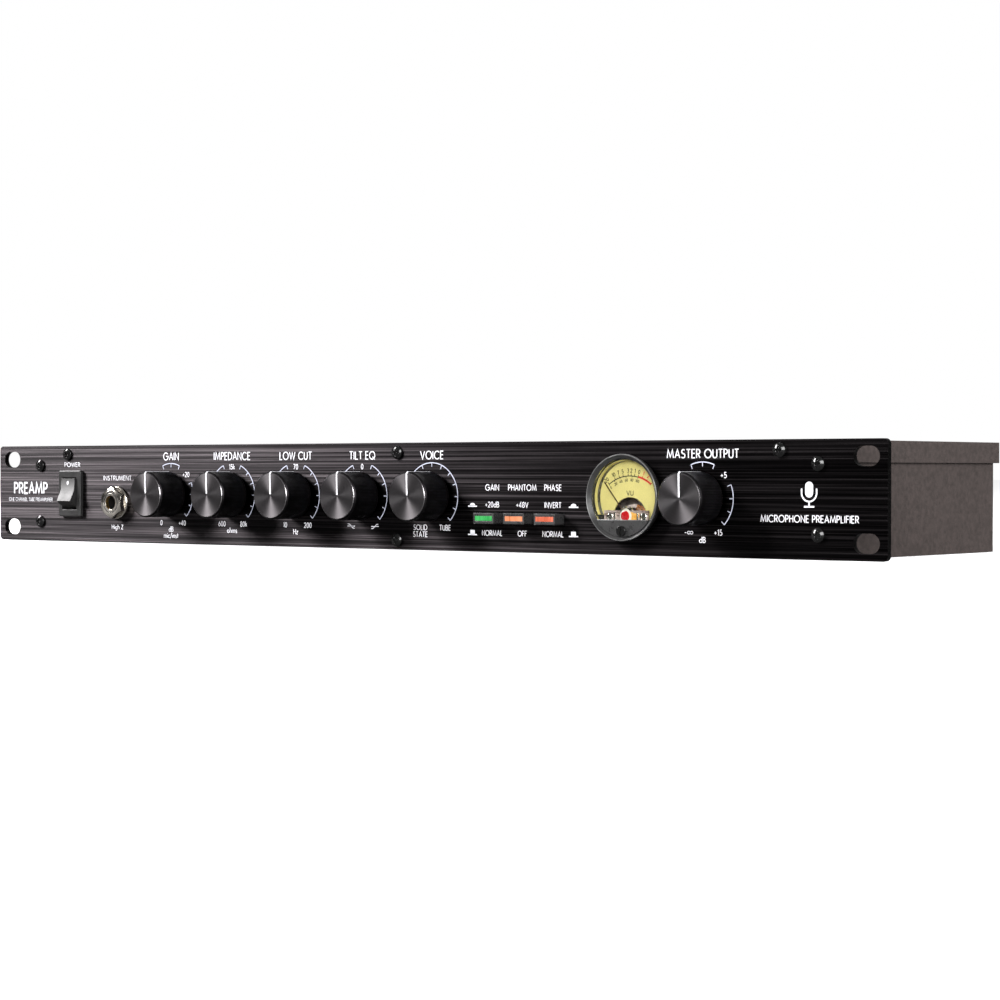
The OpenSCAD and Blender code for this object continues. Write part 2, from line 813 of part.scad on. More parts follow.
module disc_below(r, drop) {
    intersection() {
        circle(r);
        translate([-2 * r, -4 * r - drop]) square(4 * r);
    }
}

module meter_bezel() {
    top = panel_t + bezel_t;
    color("#2b2a2d") at_front(meter_x, meter_z) difference() {
        union() {
            rotate_extrude($fn = 96)
                polygon([[bezel_open_r, panel_t], [bezel_r - 0.9, panel_t], [bezel_r, top - 0.9],
                         [bezel_r - 0.1, top - 0.3], [bezel_r - 0.5, top], [bezel_open_r, top - 1.4]]);
            prism(apron_back, apron_front) disc_below(bezel_open_r + 0.2, apron_drop);
        }
        translate([0, -zero_drop, 0]) rod(zero_pin_r + run_gap, apron_back - 1, apron_front + 1);
    }
}

module meter_window() {
    color("#dfe8ea", 0.3) at_front(meter_x, meter_z)
        prism(glass_back, glass_back + glass_t) disc_above(bezel_open_r - 0.1, apron_drop - fit_gap);
}

module meter_scale() {
    color("#e6dc94") at_front(meter_x, meter_z) prism(plate_front - plate_t, plate_front)
        difference() {
            disc_above(plate_r, pivot_drop + 2.6);
            translate([0, -plate_cut_drop]) circle(plate_cut_r);
        }
}

module meter_needle() {
    tail = 3;
    color("#241a12") at_front(meter_x, meter_z) translate([0, -pivot_drop, 0]) rotate(needle_rest) {
        block([-needle_w / 2, -tail, needle_z], [needle_w / 2, needle_l, needle_z + needle_t]);
        rod(2 * spindle_r, needle_z - 0.3, needle_z + needle_t + 0.2);
        rod(spindle_r, core_front - 2.2, bridge_z + bridge_t - 0.1);
        rod(coil_r, core_front + 1.8, core_front + 2.4);
        difference() {
            rod(coil_r, core_front - 4, core_front + 1.8 + tiny);
            rod(coil_r - coil_wall, core_front - 5, core_front + 1.8);
        }
    }
}

module meter_movement() {
    post_x = coil_r + 2.8;
    bridge_w = 20.8;
    bridge_up = 3.4;
    bridge_down = 1.4;
    stud = [10, 2];
    color("#b98f86") at_front(meter_x, meter_z) difference() {
        union() {
            rod(plate_r - 0.2, movement_back - movement_plate_t, movement_back);
            translate([0, -pivot_drop, 0]) {
                rod(core_r, movement_back - tiny, core_front);
                difference() {
                    rod(yoke_out_r, movement_back - tiny, core_front + 2.2);
                    rod(yoke_in_r, movement_back, core_front + 3);
                }
                for (s = [-1, 1]) translate([s * post_x, 0, 0])
                    rod(0.8, movement_back - tiny, bridge_z + tiny);
                block([-bridge_w / 2, -bridge_down, bridge_z],
                      [bridge_w / 2, bridge_up, bridge_z + bridge_t]);
            }
            for (s = [-1, 1]) translate([s * stud[0], stud[1], 0]) {
                rod(1, movement_back - tiny, plate_front - plate_t);
                rod(2, meter_can_wall - meter_can_d, movement_back);
            }
        }
        translate([0, -pivot_drop, 0]) {
            rod(spindle_r + run_gap, core_front - 2.6, core_front + 1);
            rod(spindle_r + run_gap, bridge_z - 1, bridge_z + bridge_t + 1);
        }
    }
}

module meter_housing() {
    color("#1b1b1d") at_front(meter_x, meter_z) difference() {
        rod(meter_can_r, -meter_can_d, panel_t);
        rod(can_inner_r, meter_can_wall - meter_can_d, panel_t + 1);
    }
}

module meter_zero_screw() {
    seat = apron_front + 0.2;
    color("#0e0e0f") at_front(meter_x, meter_z) translate([0, -zero_drop, 0]) difference() {
        union() {
            rod(zero_pin_r, apron_back, seat + tiny);
            rod(zero_head_r, seat, seat + 0.8);
        }
        block([-0.35, -zero_head_r - 1, seat + 0.3], [0.35, zero_head_r + 1, seat + 2]);
    }
}

// ---------- boards and what stands on them ----------

module control_boards() {
    front = -pot_back;
    half = master_board_w / 2;
    color("#1f5a34") {
        block([switch_board_x[0], front, -switch_board_z], [switch_board_x[1], front + board_t, switch_board_z]);
        block([master_x - half, front, -half], [master_x + half, front + board_t, half]);
    }
}

module main_board() {
    color("#1f5a34") difference() {
        block([main_x[0], main_y[0], main_z], [main_x[1], main_y[1], board_top]);
        for (p = spacer_points) translate([p[0], p[1], 0]) rod(clear_r, main_z - 1, board_top + 1);
    }
}

module board_spacers() {
    color("#c8a24a") for (p = spacer_points) translate([p[0], p[1], 0]) difference() {
        rod(spacer_r, floor_z, main_z);
        rod(tap_r, floor_z + 0.5, main_z + 1);
    }
}

module board_screws() {
    color("#bfbfbf") for (p = spacer_points) translate([p[0], p[1], board_top])
        pan_screw(board_t + spacer_h - 1);
}

// Nine pins on a circle with a gap of one at the bottom
module pin_circle() {
    for (i = [1:9]) rotate(-90 + i * 36) translate([tube_pin_circle_r, 0]) children();
}

module vacuum_tube() {
    shoulder = 6;
    color("#cfd8dc", 0.5) translate([tube_x, tube_y, tube_z]) rotate([0, 90, 0]) {
        rotate_extrude() {
            square([tube_r, tube_l - shoulder]);
            translate([0, tube_l - shoulder]) intersection() {
                square([tube_r, shoulder]);
                union() {
                    translate([tube_r - shoulder, 0]) circle(shoulder);
                    square([tube_r - shoulder, shoulder]);
                }
            }
            square([1.6, tube_l + 3]);
        }
        pin_circle() rod(0.5, -tube_pin_l, tiny);
    }
}

module tube_socket() {
    foot = 10;
    color("#d9d4c8") translate([tube_x, tube_y, tube_z]) rotate([0, 90, 0]) difference() {
        rod(tube_r, -socket_l, 0);
        pin_circle() rod(0.6, -tube_pin_l - 1, 1);
    }
    color("#1f5a34") translate([tube_x - socket_l - riser_t - fit_gap, 0, 0]) {
        block([0, tube_y - tube_r - 2, board_top], [riser_t, tube_y + tube_r + 2, tube_z + tube_r]);
        block([-foot, tube_y - tube_r - 2, board_top], [tiny, tube_y + tube_r + 2, board_top + riser_t]);
    }
}

module power_transformer() {
    ring_w = transformer_r - transformer_hole_r;
    color("#8a5a2b") translate([transformer_x, transformer_y, floor_z + transformer_h / 2])
        rotate_extrude($fn = 96) translate([transformer_hole_r + ring_w / 2, 0])
            round_rect(ring_w, transformer_h, ring_w / 3);
}

module transformer_clamp() {
    bolt_r = 3;
    disc_t = 1.5;
    top = floor_z + transformer_h;
    color("#9fa3a6") translate([transformer_x, transformer_y, 0]) {
        rod(bolt_r, floor_z, top + disc_t + 6.5);
        difference() {
            rod(transformer_hole_r + 7, top, top + disc_t);
            rod(bolt_r + run_gap, top - 1, top + disc_t + 1);
        }
        translate([0, 0, top + disc_t + fit_gap]) hex_nut(10, 5, bolt_r + run_gap);
    }
}

// Capacitors on the main board: place from its left front corner, radius and height
function capacitor_list() = concat(
    [for (i = [0:2]) [18, 14 + i * 20.5, 9, 28]],
    [for (i = [0:1], j = [0:1]) [42 + i * 14, 12 + j * 44, 5, 16]],
    [for (i = [0:4]) [165 + i * 20, 12, 5, 14]],
    [for (i = [0:3]) [168 + i * 24, 30, 3.2, 11]]);

module capacitors() {
    color("#23303f") for (c = capacitor_list())
        translate([main_x[0] + c[0], main_y[0] + c[1], 0]) rod(c[2], board_top, board_top + c[3]);
}

module heat_sink() {
    fins = 7;
    sink_w = 30;
    sink_h = 22;
    fin_l = 14;
    fin_t = 1.2;
    color("#2c2f33") translate([main_x[0] + 34, main_y[0] + 26, board_top]) {
        cube([sink_w, 2, sink_h]);
        for (i = [0:fins - 1]) translate([i * (sink_w - fin_t) / (fins - 1), 2 - tiny, 0])
            cube([fin_t, fin_l, sink_h]);
    }
}

module mains_wires() {
    joint_gap = 0.1;
    start_y = rocker_body_d + blade_l + joint_gap;
    end_y = case_d - inlet_tag - joint_gap;
    color("#6b4a2e") for (s = [-1, 1], k = [-1, 1])
        wire([rocker_x + s * blade_x, start_y, k * blade_z],
             [inlet_x + s * inlet_blades[1][0], end_y, rear_z + inlet_blades[1][1] + k * wire_r],
             wire_r - fit_gap);
}

// ---------- rear connectors ----------

module inlet_socket_outline() {
    cut = 5;
    difference() {
        translate([0, socket_rise]) square([socket_w, socket_h], center = true);
        for (s = [0, 1]) mirror([s, 0])
            polygon([[socket_w / 2 + tiny, socket_rise + socket_h / 2 - cut],
                     [socket_w / 2 + tiny, socket_rise + socket_h / 2 + tiny],
                     [socket_w / 2 - cut, socket_rise + socket_h / 2 + tiny]]);
    }
}

module mains_inlet() {
    color("#1d1d1f") at_rear(inlet_x) difference() {
        union() {
            prism(0, inlet_flange_t) round_rect(inlet_w, inlet_h, 2.5);
            prism(-inlet_body_d, tiny) square([inlet_body_w, inlet_body_h], center = true);
        }
        prism(-socket_d, inlet_flange_t + 1) inlet_socket_outline();
        for (p = inlet_blades) translate(p) prism(-inlet_body_d - 1, 0)
            square([inlet_blade_w, inlet_blade_h] + 2 * run_gap * [1, 1], center = true);
        translate([0, -drawer_drop]) prism(-drawer_l - drawer_gap, inlet_flange_t + 1)
            square([drawer_w, drawer_h] + 2 * drawer_gap * [1, 1], center = true);
        for (s = [-1, 1]) translate([s * 20, 0]) rod(clear_r, -1, inlet_flange_t + 1);
    }
    color("#d8d4ca") at_rear(inlet_x) for (p = inlet_blades) translate(p)
        prism(-inlet_tag, -1) square([inlet_blade_w, inlet_blade_h], center = true);
}

module fuse_drawer() {
    color("#161618") at_rear(inlet_x) translate([0, -drawer_drop]) difference() {
        prism(-drawer_l, inlet_flange_t + 0.4) square([drawer_w, drawer_h], center = true);
        prism(inlet_flange_t - 0.8, inlet_flange_t + 1) square([8, 2.4], center = true);
        prism(-drawer_l + 2, -2) square([drawer_w - 3, drawer_h + 1], center = true);
    }
}

module xlr_flange() {
    difference() {
        union() {
            prism(0, xlr_flange_t) round_rect(xlr_w, xlr_h, 2);
            rod(xlr_body_r, -xlr_body_d, tiny);
        }
        for (p = xlr_holes) translate(p) rod(clear_r, -1, xlr_flange_t + 1);
    }
}

module mic_input() {
    bump_t = 2;
    groove_r = 9.7;
    insert_r = 8;
    groove_d = 10;
    color("#26272a") at_rear(mic_x) difference() {
        union() {
            xlr_flange();
            translate([0, latch_y]) prism(xlr_flange_t - tiny, xlr_flange_t + bump_t)
                round_rect(latch_w + 3, latch_h + 1.8, 0.8);
        }
        difference() {
            rod(groove_r, -groove_d, xlr_flange_t + bump_t + 1);
            rod(insert_r, -groove_d - 1, xlr_flange_t - 0.5);
        }
        for (p = xlr_contacts) translate(p) rod(1.3, -groove_d - 2, xlr_flange_t + 1);
        translate([0, latch_y]) prism(0.4, xlr_flange_t + bump_t + 1)
            square([latch_w, latch_h] + 0.6 * [1, 1], center = true);
    }
}

module mic_input_latch() {
    color("#c8c8c4") at_rear(mic_x) translate([0, latch_y])
        prism(0.4 + 0.3 + latch_travel, xlr_flange_t + 3.4) round_rect(latch_w, latch_h, 0.6);
}

module line_output() {
    cavity_r = 9.5;
    cavity_d = 11;
    pin_r = 1.2;
    color("#26272a") at_rear(line_x) difference() {
        xlr_flange();
        rod(cavity_r, -cavity_d, xlr_flange_t + 1);
        for (p = xlr_contacts) translate(p) rod(pin_r + run_gap, -cavity_d - 5, 0);
    }
    color("#e0ddd2") at_rear(line_x) for (p = xlr_contacts) translate(p)
        rod(pin_r, -cavity_d - 4.9, -0.5);
}

module connector_screws() {
    color("#161616") {
        for (x = [mic_x, line_x], p = xlr_holes)
            at_rear(x) translate([p[0], p[1], xlr_flange_t]) pan_screw();
        for (s = [-1, 1]) at_rear(inlet_x) translate([s * 20, 0, inlet_flange_t]) pan_screw();
    }
}

// ---------- nodes ----------

front_panel();
chassis_tray();
top_cover();
panel_screws();
cover_screws();
rocker_frame();
rocker_paddle();
rocker_terminals();
instrument_jack();
jack_washers();
jack_nuts();
for (i = [0:5]) {
    knob(i);
    shaft(i);
}
pot_bodies();
pot_nuts();
for (i = [0:2]) {
    button(i);
    lens(i);
    plunger(i);
}
switch_bodies();
meter_bezel();
meter_window();
meter_scale();
meter_needle();
meter_movement();
meter_housing();
meter_zero_screw();
control_boards();
main_board();
board_spacers();
board_screws();
vacuum_tube();
tube_socket();
power_transformer();
transformer_clamp();
capacitors();
heat_sink();
mains_wires();
mains_inlet();
fuse_drawer();
mic_input();
mic_input_latch();
line_output();
output_jack();
connector_screws();
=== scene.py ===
"""Finished looks of a rack-mount tube microphone preamplifier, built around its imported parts.

Every piece is in metres in the parts' own frame: X to the right, Y into the unit, Z up.
"""
import json
import math
from collections import namedtuple

import bmesh
import bpy
import numpy as np
from bpy.props import FloatProperty, FloatVectorProperty, IntProperty, PointerProperty
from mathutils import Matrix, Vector
from mathutils.bvhtree import BVHTree


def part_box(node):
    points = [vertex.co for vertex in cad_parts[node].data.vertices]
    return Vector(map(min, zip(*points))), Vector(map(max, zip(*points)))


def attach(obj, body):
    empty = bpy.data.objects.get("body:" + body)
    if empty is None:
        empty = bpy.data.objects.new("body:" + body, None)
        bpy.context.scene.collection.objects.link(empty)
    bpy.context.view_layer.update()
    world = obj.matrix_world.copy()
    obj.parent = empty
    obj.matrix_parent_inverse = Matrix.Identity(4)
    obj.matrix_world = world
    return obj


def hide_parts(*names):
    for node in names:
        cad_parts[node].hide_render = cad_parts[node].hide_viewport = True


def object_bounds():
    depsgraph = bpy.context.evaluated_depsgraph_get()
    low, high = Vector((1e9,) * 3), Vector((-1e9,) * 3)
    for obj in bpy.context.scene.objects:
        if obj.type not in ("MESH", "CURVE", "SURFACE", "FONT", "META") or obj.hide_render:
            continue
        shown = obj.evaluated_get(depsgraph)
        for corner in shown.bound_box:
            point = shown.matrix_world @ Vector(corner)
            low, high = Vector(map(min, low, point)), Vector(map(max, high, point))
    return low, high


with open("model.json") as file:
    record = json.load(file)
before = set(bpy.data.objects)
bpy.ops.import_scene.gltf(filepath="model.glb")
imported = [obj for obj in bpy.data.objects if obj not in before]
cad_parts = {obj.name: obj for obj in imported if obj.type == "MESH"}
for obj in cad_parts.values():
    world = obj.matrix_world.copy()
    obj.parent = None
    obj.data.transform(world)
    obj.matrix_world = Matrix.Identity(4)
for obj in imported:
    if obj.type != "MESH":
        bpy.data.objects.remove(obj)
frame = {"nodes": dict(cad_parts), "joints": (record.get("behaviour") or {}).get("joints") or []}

bl_info = {
    "name": "Microphone preamplifier looks",
    "version": (1, 0, 0),
    "blender": (4, 5, 0),
    "location": "3D View > Sidebar > Preamp",
    "description": "Builds the finished pieces, the materials and the studio of a rack preamplifier",
    "category": "Object",
}

MM = 0.001
CAD_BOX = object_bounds()
FACE_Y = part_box("front_panel")[0].y
REAR_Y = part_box("chassis_tray")[1].y
KNOBS = ("gain", "impedance", "low_cut", "tilt", "voice", "master")
BUTTONS = ("boost", "phantom", "phase")


def middle(node):
    """The middle of a CAD node's box at rest."""
    low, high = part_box(node)
    return (low + high) / 2


def joint_place(name):
    """The point that a joint's axis passes through."""
    return Vector(next(j for j in frame["joints"] if j["name"] == name)["pos_m"])


def tone(red, green, blue):
    """A screen colour of 0 to 255 as the linear light that Blender's colours hold."""
    c = np.array([red, green, blue]) / 255
    return tuple(np.where(c <= 0.04045, c / 12.92, ((c + 0.055) / 1.055) ** 2.4))


# ---------- settings ----------

def length(name, description, default):
    return FloatProperty(name=name, description=description, default=default, subtype="DISTANCE",
                         unit="LENGTH")


def colour(name, description, default):
    return FloatVectorProperty(name=name, description=description, default=default, subtype="COLOR",
                               size=3, min=0.0, max=1.0)


class KnobSettings(bpy.types.PropertyGroup):
    """Sizes and colours of the rotary knobs."""
    flutes: IntProperty(name="Flutes", description="Number of grooves round a knob's side", default=104)
    flute_depth: length("Flute depth", "Depth of each groove in a knob's side", 0.16 * MM)
    chamfer: length("Chamfer", "Width of the dark chamfer round a knob's face", 0.60 * MM)
    rim: length("Rim", "Width of the bright cut between a knob's chamfer and its face", 0.16 * MM)
    pointer_width: length("Pointer width", "Width of the white pointer line", 0.72 * MM)
    face: colour("Face", "Colour of the spun face", (0.085, 0.080, 0.083))
    side: colour("Side", "Colour of the fluted side", (0.005, 0.0045, 0.005))


class PrintSettings(bpy.types.PropertyGroup):
    """Sizes and colours of what is printed on the panel."""
    ink_height: length("Ink height", "Thickness of the printed ink", 0.03 * MM)
    title_height: length("Title height", "Height of the capitals of a control's name", 3.2 * MM)
    label_height: length("Label height", "Height of the figures round a dial", 2.1 * MM)
    small_height: length("Small height", "Height of the words at the rocker and the jack", 1.9 * MM)
    name_height: length("Name height", "Height of a button's name", 2.3 * MM)
    dial_radius: length("Dial radius", "Radius of the arc round a knob", 13.85 * MM)
    title_rise: length("Title rise", "From a knob's axis up to its name", 17 * MM)
    low_reach: length("Low reach", "From a knob's axis left to its lowest figure", 6.2 * MM)
    high_reach: length("High reach", "From a knob's axis right to its highest figure", 7.1 * MM)
    figure_drop: length("Figure drop", "From a knob's axis down to its end figures", 12.8 * MM)
    figure_rise: length("Figure rise", "From a knob's axis up to its top figure", 12.3 * MM)
    row_step: length("Row step", "From one row under a knob to the next", 2.85 * MM)
    gap_radius: length("Gap radius", "From a knob's axis to the figure in its arc's gap", 13 * MM)
    gap_angle: FloatProperty(name="Gap angle", description="Angle of that figure from upright",
                             default=math.radians(47), subtype="ANGLE", unit="ROTATION")
    name_rise: length("Name rise", "From a button's middle up to its name", 12.4 * MM)
    in_rise: length("In rise", "From a button's middle up to what it does when in", 5.5 * MM)
    out_drop: length("Out drop", "From a button's middle down to what it does when out", 6 * MM)
    sign_reach: length("Sign reach", "From the outer buttons out to the push signs", 10.2 * MM)
    label_gap: length("Label gap", "From the rocker and the jack to their words", 2.7 * MM)
    ink: colour("Ink", "Colour of the lettering", tone(236, 236, 242))
    dial_ink: colour("Dial ink", "Colour of the arcs round the knobs", tone(196, 200, 218))


class MeterSettings(bpy.types.PropertyGroup):
    """Sizes and colours of the needle meter."""
    scale_radius: length("Scale radius", "Radius of the scale's arc about the needle's pivot", 16.7 * MM)
    half_sweep: FloatProperty(name="Half sweep", description="Angle of the scale's ends from upright",
                              default=math.radians(36.5), subtype="ANGLE", unit="ROTATION")
    card: colour("Card", "Colour of the scale plate", tone(208, 194, 122))
    jewel: colour("Jewel", "Colour of the pivot's jewel", tone(205, 25, 32))


class ButtonSettings(bpy.types.PropertyGroup):
    """Colours of the push buttons' lenses."""
    glow: FloatProperty(name="Glow", description="How strongly the lenses shine", default=0.10, min=0.0)
    boost: colour("Gain lens", "Colour of the first button's lens", tone(22, 142, 60))
    phantom: colour("Phantom lens", "Colour of the second button's lens", tone(184, 106, 64))
    phase: colour("Phase lens", "Colour of the third button's lens", tone(192, 90, 60))


class FinishSettings(bpy.types.PropertyGroup):
    """Colours of the panel and the case."""
    panel_dark: colour("Panel, dark", "Dark brush lines of the panel", (0.004, 0.0036, 0.004))
    panel_light: colour("Panel, light", "Light brush lines of the panel", (0.070, 0.062, 0.066))
    case_dark: colour("Paint, dark", "Dark grains of the case's paint", tone(60, 54, 52))
    case_light: colour("Paint, light", "Light grains of the case's paint", tone(82, 73, 71))


class StageSettings(bpy.types.PropertyGroup):
    """The floor, the lights and the camera."""
    lens: FloatProperty(name="Lens", description="Focal length of the camera", default=90.17, unit="CAMERA")
    camera: FloatVectorProperty(name="Camera", description="Place of the camera", size=3,
                                default=(0.6909, -0.7917, 0.0102), subtype="TRANSLATION", unit="LENGTH")
    yaw: FloatProperty(name="Yaw", description="Turn of the camera from straight ahead, to the left",
                       default=math.radians(38.471), subtype="ANGLE", unit="ROTATION")
    pitch: FloatProperty(name="Pitch", description="Tilt of the camera, downwards",
                         default=math.radians(0.65), subtype="ANGLE", unit="ROTATION")
    key: FloatProperty(name="Key light", description="Power that every softbox takes its share of",
                       default=26.0, unit="POWER")
    floor: colour("Floor", "Colour of the floor", (0.90, 0.90, 0.90))


SETTINGS = {"preamp_knobs": KnobSettings, "preamp_print": PrintSettings, "preamp_meter": MeterSettings,
            "preamp_buttons": ButtonSettings, "preamp_finish": FinishSettings, "preamp_stage": StageSettings}


# ---------- surfaces ----------

Patch = namedtuple("Patch", "points quads corners finish")


def patch(grid, around=False, along=False, finish=0):
    """Quads between neighbours of a grid of points, whose rows and columns are the surface's two parameters.
    around joins the last column to the first, along the last row to the first.
    finish is a number, or one a row."""
    rows, columns = grid.shape[:2]
    index = np.arange(rows * columns).reshape(rows, columns)
    if along:
        index = np.vstack([index, index[:1]])
    if around:
        index = np.hstack([index, index[:, :1]])
    quads = np.stack([index[:-1, :-1], index[:-1, 1:], index[1:, 1:], index[1:, :-1]], -1)
    v, u = np.meshgrid(*[np.linspace(0, 1, n) for n in index.shape], indexing="ij")
    uv = np.stack([u, v], -1)
    corners = np.stack([uv[:-1, :-1], uv[:-1, 1:], uv[1:, 1:], uv[1:, :-1]], 2)
    finish = np.broadcast_to(np.asarray(finish).reshape(-1, 1), quads.shape[:2])
    return Patch(grid.reshape(-1, 3), quads.reshape(-1, 4), corners.reshape(-1, 2), finish.reshape(-1))


def placed(part, place):
    """The same patch with place, a function of an array of points, applied to its points."""
    return part._replace(points=place(part.points))


def turned(profile, steps=96, scale=1.0, closed=False, finish=0):
    """A profile of (radius, height) carried round the Z axis: x = r cos a, y = r sin a, z = h.
    scale multiplies the radius, and may be an array of profile points by steps."""
    profile = np.asarray(profile, float)
    a = np.arange(steps) * 2 * np.pi / steps
    r = profile[:, :1] * np.ones(steps) * scale
    grid = np.stack([r * np.cos(a), r * np.sin(a), np.repeat(profile[:, 1:], steps, 1)], -1)
    return patch(grid, around=True, along=closed, finish=finish)


def eased(outline, reach, steps=4, closed=True):
    """An outline whose corners are replaced by curves that start and end at reach from the corner:
    p = (1 - s)^2 a + 2 s (1 - s) corner + s^2 b."""
    outline = np.asarray(outline, float)
    before = np.roll(outline, 1, 0) - outline
    after = np.roll(outline, -1, 0) - outline
    gap_before = np.linalg.norm(before, axis=1, keepdims=True)
    gap_after = np.linalg.norm(after, axis=1, keepdims=True)
    a = outline + before * np.minimum(reach / gap_before, 0.49)
    b = outline + after * np.minimum(reach / gap_after, 0.49)
    s = np.linspace(0, 1, steps)[:, None, None]
    curves = ((1 - s) ** 2 * a + 2 * s * (1 - s) * outline + s ** 2 * b).transpose(1, 0, 2)
    if closed:
        return curves.reshape(-1, outline.shape[1])
    inner = curves[1:-1].reshape(-1, outline.shape[1])
    return np.vstack([outline[:1], inner, outline[-1:]])


def rectangle(width, height, corner, steps=5):
    """A rectangle's outline with eased corners, centred, counterclockwise."""
    w, h = width / 2, height / 2
    return eased([(-w, -h), (w, -h), (w, h), (-w, h)], corner, steps)


def ring_points(radius, steps=64, start=0.0, stop=2 * np.pi):
    """Points of a circle, or of an arc where start and stop are given: (r cos a, r sin a)."""
    full = abs(stop - start - 2 * np.pi) < 1e-9
    a = np.linspace(start, stop, steps, endpoint=not full)
    return radius * np.stack([np.cos(a), np.sin(a)], -1)


def outward(outline):
    """Unit normals of a counterclockwise outline, lengthened at corners so that an inset keeps its width."""
    ahead = np.roll(outline, -1, 0) - outline
    behind = outline - np.roll(outline, 1, 0)
    ahead = ahead / np.maximum(np.linalg.norm(ahead, axis=1, keepdims=True), 1e-12)
    behind = behind / np.maximum(np.linalg.norm(behind, axis=1, keepdims=True), 1e-12)
    mean = ahead + behind
    mean = mean / np.maximum(np.linalg.norm(mean, axis=1, keepdims=True), 1e-12)
    lean = np.clip((mean * ahead).sum(1, keepdims=True), 0.5, 1)
    return np.stack([mean[:, 1], -mean[:, 0]], -1) / lean


def slab(outline, low, high, edge, steps=3, finish=0, crown=0.0):
    """A plate with round rims: rows of the outline at (inset, height), from its middle underneath, round each
    rim by a quarter circle, to its middle on top, which stands up by crown."""
    outline = np.asarray(outline, float)
    a = np.linspace(0, np.pi / 2, steps + 1)
    inset = np.concatenate([edge * (1 - np.sin(a)), edge * (1 - np.cos(a))])
    height = np.concatenate([low + edge * (1 - np.cos(a)), high - edge * (1 - np.sin(a))])
    grid = outline[None] - inset[:, None, None] * outward(outline)[None]
    grid = np.dstack([grid, np.repeat(height[:, None], len(outline), 1)])
    centre = np.append(outline.mean(0), 0)
    share = np.array([1 / 3, 2 / 3])[:, None, None]
    top = grid[-1][None] * (1 - share) + (centre + [0, 0, high]) * share
    top[..., 2] = high + crown * (1 - (1 - share[..., 0]) ** 2)
    first = np.broadcast_to(centre + [0, 0, low], grid[:1].shape)
    last = np.broadcast_to(centre + [0, 0, high + crown], grid[:1].shape)
    return patch(np.concatenate([first, grid, top, last]), around=True, finish=finish)


def tube(path, radius, sides=10, up=(0, 0, 1), closed=False, finish=0):
    """A circle carried along a path and kept square to it. radius is a number, or one for each point.
    An open tube's ends are drawn to their middles."""
    path = np.asarray(path, float)
    if closed:
        tangent = np.roll(path, -1, 0) - np.roll(path, 1, 0)
    else:
        tangent = np.gradient(path, axis=0)
    tangent = tangent / np.linalg.norm(tangent, axis=1, keepdims=True)
    n = np.cross(np.broadcast_to(up, path.shape), tangent)
    n = n / np.maximum(np.linalg.norm(n, axis=1, keepdims=True), 1e-12)
    b = np.cross(tangent, n)
    a = np.arange(sides) * 2 * np.pi / sides
    radius = np.broadcast_to(np.asarray(radius, float), len(path))[:, None, None]
    ring = n[:, None] * np.cos(a)[None, :, None] + b[:, None] * np.sin(a)[None, :, None]
    grid = path[:, None] + radius * ring
    if not closed:
        ends = [np.broadcast_to(path[i], (1, sides, 3)) for i in (0, -1)]
        grid = np.concatenate([ends[0], grid, ends[1]])
    return patch(grid, around=True, along=closed, finish=finish)


def ribbon(path, width, low, high, closed=False, finish=0):
    """A flat strip along a path in a plane: each point's left and right edges at two heights."""
    path = np.asarray(path, float)
    ahead = np.diff(path, axis=0, append=path[:1])
    if not closed:
        ahead[-1] = ahead[-2]
    ahead = ahead / np.maximum(np.linalg.norm(ahead, axis=1, keepdims=True), 1e-12)
    behind = np.roll(ahead, 1, 0)
    if not closed:
        behind[0] = ahead[0]
    mean = ahead + behind
    mean = mean / np.maximum(np.linalg.norm(mean, axis=1, keepdims=True), 1e-12)
    lean = np.clip((mean * ahead).sum(1, keepdims=True), 0.45, 1)
    left = np.stack([-mean[:, 1], mean[:, 0]], -1) / lean * width / 2
    sides = [(path + left, high), (path - left, high), (path - left, low), (path + left, low)]
    grid = np.stack([np.column_stack([p, np.full(len(p), h)]) for p, h in sides], 1)
    if not closed:
        ends = [grid[i].mean(0)[None, None].repeat(4, 1) for i in (0, -1)]
        grid = np.concatenate([ends[0], grid, ends[1]])
    return patch(grid, around=True, along=closed, finish=finish)


def front_place(x, z, y=None):
    """A function that sets local (right, up, out) points on the front: (x + u, y - w, z + v)."""
    y = FACE_Y if y is None else y
    return lambda p: np.stack([x + p[:, 0], y - p[:, 2], z + p[:, 1]], -1)


def rear_place(x, z, y=None):
    """A function that sets local (right, up, out) points on the rear, as seen from behind:
    (x - u, y + w, z + v)."""
    y = REAR_Y if y is None else y
    return lambda p: np.stack([x - p[:, 0], y + p[:, 2], z + p[:, 1]], -1)


def tilted_place(point, normal, up=(0, 0, 1)):
    """A function that sets local (right, up, out) points on a sloping face, out along its normal."""
    w = np.array(normal) / np.linalg.norm(normal)
    u = np.cross(up, w)
    u = u / np.linalg.norm(u)
    v = np.cross(w, u)
    return lambda p: np.array(point) + p @ np.stack([u, v, w])


# ---------- pieces ----------

def merge(mesh, flat=False):
    """Joins points that lie on each other, so seams and poles are closed.
    flat also makes each flat face one."""
    bm = bmesh.new()
    bm.from_mesh(mesh)
    bmesh.ops.remove_doubles(bm, verts=bm.verts, dist=2e-7)
    if flat:
        bmesh.ops.dissolve_limit(bm, angle_limit=math.radians(0.5), verts=bm.verts, edges=bm.edges)
    bm.to_mesh(mesh)
    bm.free()


def link(name, mesh, body, materials, replaces, crease):
    """Makes the mesh an object with its materials, on its body."""
    for material in materials:
        mesh.materials.append(material)
    mesh.polygons.foreach_set("use_smooth", np.ones(len(mesh.polygons), bool))
    mesh.set_sharp_from_angle(angle=math.radians(crease))
    piece = bpy.data.objects.new(name, mesh)
    bpy.context.scene.collection.objects.link(piece)
    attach(piece, body)
    if replaces:
        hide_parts(*replaces)
    return piece


